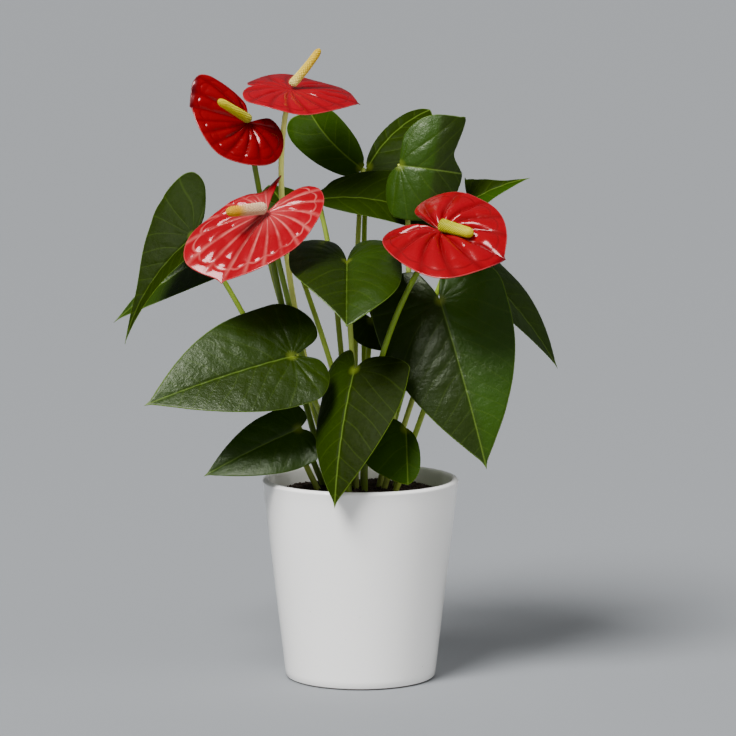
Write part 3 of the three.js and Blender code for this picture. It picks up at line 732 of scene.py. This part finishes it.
def blade(form, rays, rings, thickness, veins, relief):
    base = blade_frame(form)
    outline = flat_outline(form, base["length"], rays)
    shares = (np.arange(rings) + 1) / rings
    flat = (shares[:, None, None] * outline[None]).reshape(-1, 2)
    edge = np.repeat(shares, len(outline))
    flat, edge = np.vstack([[(BESIDE, BESIDE)], flat]), np.concatenate([[0], edge])
    along, across = flat.T
    number = veins(along, across, base["length"])
    reach = np.hypot(along, across)
    loop = loop_distance(number, edge)
    swell = relief(form, base, number, along, across, edge)
    swell = swell * np.minimum(reach / SMOOTH_MIDDLE, 1)
    rib = RIB_SINK * np.exp(-(across / RIB_WIDTH) ** 2) * (1 - edge) ** 0.5
    way = normals(form, base, along, across)
    place = bent(form, base, along, across)
    depth = thickness * (RIM_THIN + (1 - RIM_THIN) * (1 - edge ** 8))
    upper = place + way * (depth / 2 + swell - rib)[:, None]
    lower = place + way * (-depth / 2 + UNDER_SWELL * swell - UNDER_RIB * rib)[:, None]

    def both(face, underside):
        """The face's rings from the middle out, then the underside's from the margin in."""
        back = underside[1:].reshape(rings, -1)[::-1].reshape(-1, *face.shape[1:])
        return np.concatenate([face, back, underside[:1]])

    values = dict(vein=number, across=across, along=along / base["length"], edge=edge,
                  reach=reach, loop=loop)
    looks = {key: both(value, value) for key, value in values.items()}
    looks["under"] = both(np.zeros(len(edge)), np.ones(len(edge)))
    return both(upper, lower), capped_faces(2 * rings, len(outline)), looks


print("a blade's margin is", RIM_THIN, "of its thickness")

# %% [markdown]
# ## Stems
# A petiole or stalk leaves the mix straight and bends once, up to its blade. It is a round tube
# that thins upwards. Just under a leaf it has a thicker knee, which turns the blade to the light,
# and from there it runs on as the midrib under the blade.

# %% Sweep a stem
ROOTED, STRAIGHT, ROOT_PULL, BLADE_PULL = 114, 27, 0.45, 0.2
STRAIGHT_STEPS, STRAIGHT_SHARE, BENT_STEPS = 5, 0.85, 48


def stem_path(form, end):
    root = np.array([*form["root"], ROOTED], float)
    up = unit(form["up"])
    neck = root + up * STRAIGHT
    rise = np.linalg.norm(end - neck)
    base = blade_frame(form)
    arrive = form["arrive"] if form["arrive"] else base["ahead"] * 0.5 - base["above"]
    hold = (neck, neck + up * rise * ROOT_PULL, end + unit(arrive) * rise * BLADE_PULL, end)
    t = np.linspace(0, 1, BENT_STEPS)[:, None]
    curve = sum(k * (1 - t) ** (3 - i) * t ** i * hold[i] for i, k in enumerate((1, 3, 3, 1)))
    low = np.linspace(0, STRAIGHT_SHARE, STRAIGHT_STEPS)[:, None]
    return np.vstack([root + (neck - root) * low, curve])


def sweep(path, radii, sides):
    ways = np.gradient(path, axis=0)
    ways /= np.linalg.norm(ways, axis=1)[:, None]
    side = unit(np.cross(ways[0], (0.3, 1, 0.2)))
    turns = ring_turns(sides)
    rings = []
    for place, way, radius in zip(path, ways, radii):
        side = unit(side - way * np.dot(side, way))
        other = np.cross(way, side)
        rings.append(place + radius * (np.cos(turns)[:, None] * side
                                       + np.sin(turns)[:, None] * other))
    return np.vstack([path[:1], *rings, path[-1:]]), capped_faces(len(rings), sides)


def along_stem(path, sides):
    steps = np.linalg.norm(np.diff(path, axis=0), axis=1)
    run = np.concatenate([[0], np.cumsum(steps)])
    return np.concatenate([[0], np.repeat(run, sides), [run[-1]]]) / run[-1]


print("points along a stem:", STRAIGHT_STEPS + BENT_STEPS)

# %% [markdown]
# ## Leaf finish
# A living leaf is dark because light passes into it, and it shines because of its waxy skin. The
# young leaf near the top is much lighter, so each blade carries a number for its tone. That number
# also holds painted light and shade: it is set higher on some leaves and halves to paint light on
# them and lower on others to paint shade, and the bright top leaf is painted darker past its
# crest.
# The material picks its green by that tone and a slow noise, draws the pale veins and the pale
# rim, and turns the underside duller and lighter.

# %% Leaf material
LEAF_VEIN, MIDRIB, STEM_SPOT = 0.06, 0.8, 5.0  # a share of the spacing, then mm
LEAF_RIM = 0.99  # of the way to the margin


def vein_line(tree, width):
    return near(tree, sums(tree, "PINGPONG", attribute(tree, "vein"), 0.5), width)


def clouded(tree, tone, noise, strength):
    return sums(tree, "ADD", tone, times(tree, sums(tree, "SUBTRACT", noise, 0.5), strength))


def leaf_material(name, roughness, shine):
    material, tree, shader = new_material(name)
    noise = object_noise(tree, 22.0)
    tone = clouded(tree, attribute(tree, "tone"), noise, 0.35)
    color = ramp(tree, tone, [(0.0, (0.0055, 0.010, 0.0003)), (0.35, (0.010, 0.024, 0.0005)),
                              (0.7, (0.017, 0.052, 0.0006)), (1.0, (0.032, 0.120, 0.0008))])
    fine = object_noise(tree, 420.0, 3.0)
    color = blend_color(tree, times(tree, fine, 0.15), color, (0.05, 0.09, 0.004))
    lines = times(tree, vein_line(tree, LEAF_VEIN), 0.18)
    color = blend_color(tree, lines, color, (0.07, 0.12, 0.01))
    midrib = near(tree, sums(tree, "ABSOLUTE", attribute(tree, "across")), MIDRIB)
    color = blend_color(tree, times(tree, midrib, 0.6), color, (0.11, 0.18, 0.02))
    spot = near(tree, attribute(tree, "reach"), STEM_SPOT)
    color = blend_color(tree, spot, color, (0.12, 0.16, 0.01))
    rim = sums(tree, "GREATER_THAN", attribute(tree, "edge"), LEAF_RIM)
    color = blend_color(tree, times(tree, rim, 0.5), color, (0.12, 0.20, 0.02))
    dull = blend_color(tree, 0.4, color, (0.08, 0.14, 0.01))
    under = attribute(tree, "under")
    color = blend_color(tree, under, color, dull)
    rough = sums(tree, "ADD", roughness, times(tree, noise, 0.16))
    rough = sums(tree, "ADD", rough, times(tree, under, 0.2))
    set_finish(tree, shader, {"Base Color": color, "Roughness": rough,
                              "Specular IOR Level": shine, "Specular Tint": (0.93, 1.0, 0.8, 1)})
    bump(tree, shader, object_noise(tree, 170.0, 5.0, 0.65), 0.45, 0.0016)
    return material


leaf_waxy = leaf_material("leaf_green_waxy", 0.28, 0.3)
leaf_dull = leaf_material("leaf_green_dull", 0.42, 0.04)
print("leaf finishes:", leaf_waxy.name, leaf_dull.name)

# %% Stem material
STEM_FOOT, KNEE_FROM, KNEE_STEEP = 0.25, 0.93, 14.0  # shares of the stem, and how fast it pales


def stem_material():
    material, tree, shader = new_material("stem_green")
    noise = object_noise(tree, 60.0)
    pale, along = attribute(tree, "tone"), attribute(tree, "along")
    color = ramp(tree, pale, [(0.0, (0.030, 0.060, 0.002)), (0.5, (0.200, 0.320, 0.014)),
                              (1.0, (0.930, 0.960, 0.220))])
    low = near(tree, along, STEM_FOOT)
    color = blend_color(tree, times(tree, low, 0.7), color, (0.05, 0.06, 0.02))
    knee = times(tree, sums(tree, "SUBTRACT", along, KNEE_FROM), KNEE_STEEP, clamp=True)
    color = blend_color(tree, times(tree, knee, 0.5), color, (0.24, 0.28, 0.06))
    shade = times(tree, noise, sums(tree, "MULTIPLY_ADD", pale, -0.25, 0.27))
    color = blend_color(tree, shade, color, (0.03, 0.06, 0.002))
    set_finish(tree, shader, {"Base Color": color, "Roughness": 0.38,
                              "Specular IOR Level": 0.35})
    bump(tree, shader, object_noise(tree, 300.0), 0.2, 0.0008)
    return material


stem_green = stem_material()
print("stem finish:", stem_green.name)

# %% [markdown]
# ## The sixteen leaves
# Each leaf is one piece, blade and petiole together, as it grows. The petiole's last stretch is
# the rib under the blade, and it thins towards the tip.

# %% Grow the leaves
PETIOLE_RADIUS, STALK_RADIUS = 2, 2.1
PETIOLE_TOP = 2.1  # mm under the blade
PETIOLE_WIDTHS, KNEE, KNEE_AT, KNEE_SPAN = (1.05, 0.22), 0.45, 0.955, 0.025
LEAF_THICKNESS = 0.55
LEAF_RAYS, LEAF_RINGS, STEM_SIDES = 170, 40, 14
# The tones of each blade's halves: partly the leaf's own tone, partly painted light on leaves and
# halves that face the lamps and painted shade on those turned away or lying in shade.
LEAF_TONES_AND_SHADE = {  # of the left and the right half
    "leaf_front": (0.0, 0.25), "leaf_left": (0.25, 0.35), "leaf_left_low": (0.45, 0.45),
    "leaf_centre": (0.4, 0.15), "leaf_right": (0.65, 0.2), "leaf_right_back": (0.25, 0.25),
    "leaf_right_top": (0.1, 0.6), "leaf_top_bright": (0.6, 0.6), "leaf_top_dark": (0.25, 0.25),
    "leaf_top_back": (0.15, 0.15), "leaf_top_left": (0.45, 0.45), "leaf_far_left": (0.1, 0.1),
    "leaf_far_left_back": (0.45, 0.45), "leaf_back": (0.2, 0.2), "leaf_right_small": (0.2, 0.2),
    "leaf_low": (0.5, 0.5),
}
RIB_RADII, RIB_SPAN, RIB_STEPS, RIB_UNDER = (1.15, 0.3), (0.03, 0.8), 14, 0.45
WAXY_LEAVES = ("leaf_left", "leaf_centre", "leaf_right", "leaf_top_bright", "leaf_right_back",
               "leaf_far_left_back", "leaf_left_low")
HALVES_MEET = 3.0  # mm from the midrib
PETIOLE_TONE, TONE_FROM_BLADE = 0.5, 0.3
# Painted shade: past its crest the bright top leaf turns away from the light, so its tone there is
# painted darker.
TIP_SHADE_TONES, CREST, CREST_SPAN = {"leaf_top_bright": 0.2}, 0.48, 0.1  # the tone past the crest


def rib_under(form, base, radii):
    along = np.linspace(*RIB_SPAN, RIB_STEPS) * base["length"]
    across = np.full(RIB_STEPS, BESIDE)
    deep = (RIB_UNDER + radii)[:, None]
    return bent(form, base, along, across) - normals(form, base, along, across) * deep


def petiole(form):
    base = blade_frame(form)
    rise = stem_path(form, base["at"] - PETIOLE_TOP * base["above"])
    rib_radii = np.linspace(*RIB_RADII, RIB_STEPS)
    path = np.vstack([rise, rib_under(form, base, rib_radii)])
    share = np.linspace(0, 1, len(rise))
    knee = KNEE * np.exp(-((share - KNEE_AT) / KNEE_SPAN) ** 2)
    wide, thinning = PETIOLE_WIDTHS
    radii = np.concatenate([PETIOLE_RADIUS * (wide - thinning * share) + knee, rib_radii])
    points, faces = sweep(path, radii, STEM_SIDES)
    return points, faces, along_stem(path, STEM_SIDES)


def joined(first, second):
    points = np.vstack([first[0], second[0]])
    shift = len(first[0])
    faces = first[1] + [tuple(i + shift for i in face) for face in second[1]]
    return points, faces


def leaf_tone_and_shade(name, looks):
    # The halves' tones, with their painted light and shade, meet smoothly at the midrib.
    left, right = LEAF_TONES_AND_SHADE[name]
    tone = (left + right) / 2 + (left - right) / 2 * np.tanh(looks["across"] / HALVES_MEET)
    # Past the crest the tone is painted darker as shade.
    if name in TIP_SHADE_TONES:
        past_crest = np.clip((looks["along"] - CREST) / CREST_SPAN, 0, 1)
        tone += (TIP_SHADE_TONES[name] - tone) * past_crest
    return tone


def grow_leaf(name, form):
    points, faces, looks = blade(form, LEAF_RAYS, LEAF_RINGS, LEAF_THICKNESS, leaf_veins,
                                 leaf_relief)
    looks["tone"] = leaf_tone_and_shade(name, looks)
    stem_points, stem_faces, run = petiole(form)
    values = {key: np.concatenate([part, np.zeros(len(run))]) for key, part in looks.items()}
    values["along"][len(points):] = run
    values["tone"][len(points):] = PETIOLE_TONE + TONE_FROM_BLADE * LEAF_TONES_AND_SHADE[name][0]
    slots = [0] * len(faces) + [1] * len(stem_faces)
    all_points, all_faces = joined((points, faces), (stem_points, stem_faces))
    piece = make_object(name.replace("leaf", "veined_leaf"), all_points, all_faces,
                        [leaf_waxy if name in WAXY_LEAVES else leaf_dull, stem_green], values,
                        slots)
    stand_for(piece, name)
    return len(all_faces)


leaf_faces = sum(grow_leaf(name, whole_form(numbers, LEAF_OUTLINE))
                 for name, numbers in LEAVES.items())
print("leaf faces:", leaf_faces)

# %% [markdown]
# ## Spathe finish
# The spathe looks lacquered. Its red is darkest at the tip and in the creases along the veins,
# where shade is painted in, and the oldest bloom has whitish veins and a pale middle instead. A
# clear coat over a smooth base gives the sharp white highlights.

# %% Spathe material
# Widths of the lines; the crease width is that of the painted shade along the veins.
LOOP_LINE, VEIN_LINE, CREASE_SHADE_LINE = 0.022, 0.18, 0.22
PALE_MIDDLE = 26.0  # mm from the stem
SPATHE_RIM, RIM_STRENGTH = 0.988, 0.4


def spathe_material():
    material, tree, shader = new_material("lacquer_red")
    tone = attribute(tree, "tone")
    noise = object_noise(tree, 30.0)
    color = ramp(tree, clouded(tree, tone, noise, 0.3), [
        (0.0, (0.120, 0.000, 0.0010)), (0.4, (0.220, 0.000, 0.004)),
        (0.7, (0.280, 0.000, 0.008)), (1.0, (0.350, 0.001, 0.014))])
    pale, edge = attribute(tree, "pale"), attribute(tree, "edge")
    loop = near(tree, sums(tree, "ABSOLUTE", attribute(tree, "loop")), LOOP_LINE)
    # Painted shade: the creases along the veins and along the vein near the margin are darkened,
    # less on the pale oldest bloom.
    crease = times(tree, sums(tree, "MAXIMUM", loop, vein_line(tree, CREASE_SHADE_LINE)),
                   sums(tree, "MULTIPLY_ADD", pale, -0.6, 0.6))
    color = blend_color(tree, crease, color, (0.085, 0.000, 0.0015))
    fading = times(tree, vein_line(tree, VEIN_LINE),
                   sums(tree, "MULTIPLY_ADD", edge, -0.6, 1.0))
    lines = sums(tree, "MAXIMUM", times(tree, loop, 0.6), fading)
    patchy = sums(tree, "MULTIPLY_ADD", object_noise(tree, 70.0), 3.0, -0.9, clamp=True)
    color = blend_color(tree, times(tree, lines, times(tree, pale, patchy)), color,
                        (0.74, 0.22, 0.19))
    tip = sums(tree, "MULTIPLY_ADD", attribute(tree, "along"), 12.0, -10.9, clamp=True)
    tip = times(tree, tip, sums(tree, "MULTIPLY_ADD", pale, -0.8, 0.8))
    color = blend_color(tree, tip, color, (0.030, 0.002, 0.004))
    middle = times(tree, near(tree, attribute(tree, "reach"), PALE_MIDDLE),
                   times(tree, pale, 0.4))
    color = blend_color(tree, middle, color, (0.60, 0.12, 0.12))
    rim = times(tree, sums(tree, "GREATER_THAN", edge, SPATHE_RIM),
                sums(tree, "MULTIPLY_ADD", tip, -RIM_STRENGTH, RIM_STRENGTH))
    color = blend_color(tree, rim, color, (0.55, 0.08, 0.08))
    under = blend_color(tree, 0.3, color, (0.25, 0.01, 0.015))
    color = blend_color(tree, attribute(tree, "under"), color, under)
    set_finish(tree, shader, {"Base Color": color, "Roughness": 0.22,
                              "Specular IOR Level": 0.25, "Specular Tint": (1.0, 0.25, 0.25, 1),
                              "Coat Weight": 0.35, "Coat Roughness": 0.1})
    bump(tree, shader, object_noise(tree, 160.0, 3.0), 0.12, 0.0012)
    return material


lacquer_red = spathe_material()
print("spathe finish:", lacquer_red.name)

# %% Shape the spathes and their stalks
SPATHE_THICKNESS = 0.8
SPATHE_RAYS, SPATHE_RINGS = 260, 80
SPATHE_HALF, FIT = 0.5, 0.3  # mm from a spathe's middle to its face, and on to the next piece
STALK_WIDTHS = (1.05, 0.85)
STALK_END = 0.92  # a stalk has no knee, so its values stop short of one
FLORET_STANDS = 0.25  # mm that the florets stand out from a spadix
SPATHE_TONES = {"left": 0.55, "top": 0.55, "top_left": 0.15, "right": 0.45}
SPATHE_VEINS = {"left": 0.8, "top": 0.04, "top_left": 0.0, "right": 0.04}  # how pale they are
STALK_TONES = {"left": 0.5, "top": 1.0, "top_left": 0.35, "right": 0.5}
# Finer than the solids: two lobes that meet, and a rolled lobe drawn out to its point.
MEETING = CLOSED[:9] + ((-0.96, 0.48), (-1, 0.2), (-0.8, 0.004), (-0.05, 0))
SEEN = {"top": {"outlines": (MEETING, MEETING), "lobes": (32, 31)}, "left": {"lobes": (33, 38)}}


def clearance(form, normal, way, radius):
    tilt = math.sin(math.acos(max(-1, min(1, float(np.dot(normal, unit(way)))))))
    crease = max(abs(math.sin(math.radians(angle))) for angle in form["fold"])
    return SPATHE_HALF + FIT + radius * (tilt + crease)


def shape_bloom(name, form):
    form = {**form, **SPATHES[name], **SEEN.get(name, {})}
    base = blade_frame(form)
    points, faces, looks = blade(form, SPATHE_RAYS, SPATHE_RINGS, SPATHE_THICKNESS,
                                 spathe_veins(form["spread"]), spathe_relief)
    looks["tone"] = np.full(len(points), SPATHE_TONES[name])
    looks["pale"] = np.full(len(points), SPATHE_VEINS[name])
    spathe = make_object("lacquered_spathe_" + name, points, faces, [lacquer_red], looks)
    stand_for(spathe, "spathe_" + name)
    normal = normals(form, base, np.array([0.0]), np.array([BESIDE]))[0]
    top = base["at"] - normal * clearance(form, normal, form["arrive"], STALK_RADIUS)
    path = stem_path(form, top)
    radii = STALK_RADIUS * np.linspace(*STALK_WIDTHS, len(path))
    stem_points, stem_faces = sweep(path, radii, STEM_SIDES)
    run = along_stem(path, STEM_SIDES)
    stalk = make_object("flower_stalk_" + name, stem_points, stem_faces, [stem_green], {
        "along": run * STALK_END, "tone": np.full(len(run), STALK_TONES[name])})
    stand_for(stalk, "stalk_" + name)
    wide = form["spadix_radius"] + FLORET_STANDS
    return base["at"] + normal * clearance(form, normal, form["spadix"], wide)


spadix_bases = {name: shape_bloom(name, whole_form(numbers, SPATHE_OUTLINE))
                for name, numbers in BLOOMS.items()}
print("spathes:", len(spadix_bases))

# %% [markdown]
# ## Spadices
# A spadix is a fleshy spike closely covered with tiny florets that stand in crossing spirals.
# That is a rule, so a Geometry Nodes tree makes it: points on a spiral of golden angles, a small
# lump on each, and a smooth core inside. It grows along Z and is then laid along its own axis.

# %% Build the tree of a spadix
SPADIX = {"Length": 0.03, "Radius": 0.0034, "Taper": 0.22, "Floret": 0.00052, "Count": 900,
          "Golden Angle": 2.399963}
END_FROM, END_STEEP = 0.86, 7.2  # where the tip begins to round off, and how fast
FOOT_STEEP, FOOT_ROUND = 12.0, 0.75
FLORET_SHRINK, CORE = 0.25, 0.97
CORE_SIDES, CORE_STEPS = 32, 40


def spadix_radius(tree, given, share):
    slim = sums(tree, "SUBTRACT", 1.0, times(tree, share, given["Taper"]))
    end = times(tree, sums(tree, "SUBTRACT", share, END_FROM), END_STEEP, clamp=True)
    start = sums(tree, "SUBTRACT", 1.0, times(tree, share, FOOT_STEEP), clamp=True)
    both = sums(tree, "MULTIPLY_ADD", end, end,
                times(tree, times(tree, start, start), FOOT_ROUND))
    round_ends = sums(tree, "SQRT", sums(tree, "SUBTRACT", 1.0, both, clamp=True))
    return times(tree, given["Radius"], times(tree, slim, round_ends))


def place_at(tree, x, y, z):
    return node(tree, "ShaderNodeCombineXYZ", {"X": x, "Y": y, "Z": z}).outputs[0]


def spadix_tree(material):
    tree, given, result = new_tree("spadix", SPADIX, takes_mesh=False)
    index = node(tree, "GeometryNodeInputIndex").outputs[0]
    share = sums(tree, "DIVIDE", sums(tree, "ADD", index, 0.5), given["Count"])
    angle = times(tree, index, given["Golden Angle"])
    radius = spadix_radius(tree, given, share)
    place = place_at(tree, times(tree, radius, sums(tree, "COSINE", angle)),
                     times(tree, radius, sums(tree, "SINE", angle)),
                     times(tree, share, given["Length"]))
    dots = node(tree, "GeometryNodePoints", {"Count": given["Count"], "Position": place})
    lump = node(tree, "GeometryNodeMeshIcoSphere", {"Radius": given["Floret"]})
    size = sums(tree, "SUBTRACT", 1.0, times(tree, share, FLORET_SHRINK))
    florets = node(tree, "GeometryNodeInstanceOnPoints", {
        "Points": dots.outputs[0], "Instance": lump.outputs[0], "Scale": size})
    real = node(tree, "GeometryNodeRealizeInstances", {0: florets.outputs[0]})
    core = node(tree, "GeometryNodeMeshCylinder", {
        "Vertices": CORE_SIDES, "Side Segments": CORE_STEPS, "Radius": 1.0, "Depth": 1.0})
    spot = node(tree, "ShaderNodeSeparateXYZ", {
        "Vector": node(tree, "GeometryNodeInputPosition").outputs[0]}).outputs
    rise = sums(tree, "ADD", spot["Z"], 0.5)
    wide = times(tree, spadix_radius(tree, given, rise), CORE)
    shaped = node(tree, "GeometryNodeSetPosition", {
        "Geometry": core.outputs[0],
        "Position": place_at(tree, times(tree, spot["X"], wide), times(tree, spot["Y"], wide),
                             times(tree, rise, given["Length"]))})
    painted = node(tree, "GeometryNodeSetMaterial", {
        "Geometry": joined_geometry(tree, real.outputs[0], shaped.outputs[0]),
        "Material": material})
    tree.links.new(painted.outputs[0], result)
    return tree


print("inputs of a spadix:", ", ".join(SPADIX))

# %% Spadix material
def spadix_material():
    material, tree, shader = new_material("floret_yellow")
    along = attribute(tree, "along")
    ripe = attribute(tree, "tone")
    ripe_tip = ramp(tree, along, [(0.0, (0.86, 0.60, 0.42)), (0.55, (0.88, 0.58, 0.34)),
                                  (0.75, (0.88, 0.44, 0.012)), (1.0, (0.90, 0.46, 0.006))])
    pale = ramp(tree, along, [(0.0, (0.95, 0.84, 0.30)), (0.35, (0.95, 0.72, 0.07)),
                              (1.0, (0.95, 0.60, 0.008))])
    lime = ramp(tree, along, [(0.0, (0.42, 0.42, 0.002)), (0.6, (0.68, 0.66, 0.002)),
                              (1.0, (0.85, 0.76, 0.004))])
    color = blend_color(tree, times(tree, ripe, 2.0, clamp=True), ripe_tip, pale)
    color = blend_color(tree, sums(tree, "MULTIPLY_ADD", ripe, 2.0, -1.0, clamp=True), color, lime)
    # Painted shade: the valleys between the florets, down to the core, are darkened where shade
    # falls.
    shaded_valley = blend_color(tree, 0.45, color, (0.14, 0.10, 0.004))
    color = blend_color(tree, attribute(tree, "peak"), shaded_valley, color)
    set_finish(tree, shader, {"Base Color": color, "Roughness": 0.5, "Specular IOR Level": 0.25})
    bump(tree, shader, object_noise(tree, 900.0, 2.0), 0.3, 0.0004)
    return material


floret_tree = spadix_tree(spadix_material())
print("nodes in the floret tree:", len(floret_tree.nodes))

# %% Set each spadix on its spathe
SPADIX_TONES = {"left": 0.0, "top": 0.5, "top_left": 0.9, "right": 1.0}
SPADIX_BENDS = {"left": 0.0, "top": 2.6, "top_left": 0.0, "right": 0.5}  # mm, its middle upwards
FLORET, FLORET_ROOM = 0.55 * MM, 1.3 * MM ** 2


def set_spadix(name, form, start):
    seed = added("seed", bpy.data.meshes.new("seed"))
    length, radius = form["spadix_length"] * MM, form["spadix_radius"] * MM
    count = int(2 * math.pi * radius * length / FLORET_ROOM)
    values = {"Length": length, "Radius": radius, "Floret": FLORET, "Count": count}
    piece = applied(seed, "florets_" + name, floret_tree, values)
    mesh = piece.data
    points = np.empty(len(mesh.vertices) * 3)
    mesh.vertices.foreach_get("co", points)
    points = points.reshape(-1, 3)
    share = np.clip(points[:, 2] / length, 0, 1)
    axis = unit(form["spadix"])
    side = unit(np.cross((0, 0, 1), axis))
    over = np.cross(axis, side)
    sag = SPADIX_BENDS[name] * MM * (share ** 2 - share)
    wide = radius * (1 - SPADIX["Taper"] * share)
    peak = np.clip((np.hypot(points[:, 0], points[:, 1]) - wide) / FLORET, 0, 1)
    moved = (start * MM + points[:, :1] * side + points[:, 1:2] * over + points[:, 2:] * axis
             + sag[:, None] * over)
    mesh.vertices.foreach_set("co", moved.ravel())
    tones = np.full(len(share), SPADIX_TONES[name])
    write_values(mesh, {"along": share, "tone": tones, "peak": peak})
    mesh.shade_smooth()
    mesh.update()
    stand_for(piece, "spadix_" + name)
    return len(mesh.polygons)


floret_faces = sum(set_spadix(name, numbers, spadix_bases[name])
                   for name, numbers in BLOOMS.items())
print("spadix faces:", floret_faces)

# %% [markdown]
# ## Studio
# The plant stands on a plain pale floor in soft light. The main light is a broad sun at the
# upper left, in front, and a soft box beside it draws the sheen on the leaves. Two weak fills,
# which leave no reflection, lift the right side and the back, and the world adds a little grey.

# %% Floor, light and surroundings
FLOOR_HALF = 60.0  # metres, so that its far edge lies out of the picture
PLANT_MIDDLE = (0, 0, 0.25)
SOFT, SOFTEST = math.radians(26), math.radians(90)  # how wide a light looks from the plant
WORLD_COLOR, WORLD_STRENGTH = (0.62, 0.64, 0.67, 1), 0.14


def floor_plane():
    mesh = bpy.data.meshes.new("floor")
    far = FLOOR_HALF
    corners = [(-far, -far, 0), (far, -far, 0), (far, far, 0), (-far, far, 0)]
    mesh.from_pydata(corners, [], [(0, 1, 2, 3)])
    material, tree, shader = new_material("pale_floor")
    set_finish(tree, shader, {"Base Color": (0.24, 0.25, 0.262, 1), "Roughness": 0.8,
                              "Specular IOR Level": 0.1})
    mesh.materials.append(material)
    floor = added("floor", mesh)


def lamp(name, kind, place, power, shines=True, **settings):
    data = bpy.data.lights.new(name, kind)
    data.energy = power
    for key, value in settings.items():
        setattr(data, key, value)
    made = added(name, data)
    made.location = place
    made.visible_glossy = shines
    way = Vector(PLANT_MIDDLE) - Vector(place)
    made.rotation_euler = way.to_track_quat("-Z", "Y").to_euler()


floor_plane()
lamp("window_key", "SUN", (-1.0, -1.5, 2.4), 6.0, angle=SOFT)
lamp("room_fill", "SUN", (1.8, -1.6, 0.9), 1.8, shines=False, angle=SOFTEST)
lamp("back_fill", "SUN", (0.6, 2.0, 1.1), 1.2, shines=False, angle=SOFTEST)
lamp("soft_box", "AREA", (-0.9, -1.1, 1.5), 12, shape="RECTANGLE", size=0.5, size_y=0.9)
world = bpy.data.worlds.new("studio")
world.use_nodes = True
set_finish(world.node_tree, world.node_tree.nodes["Background"],
           {"Color": WORLD_COLOR, "Strength": WORLD_STRENGTH})
bpy.context.scene.world = world
print("lights:", len(bpy.data.lights))
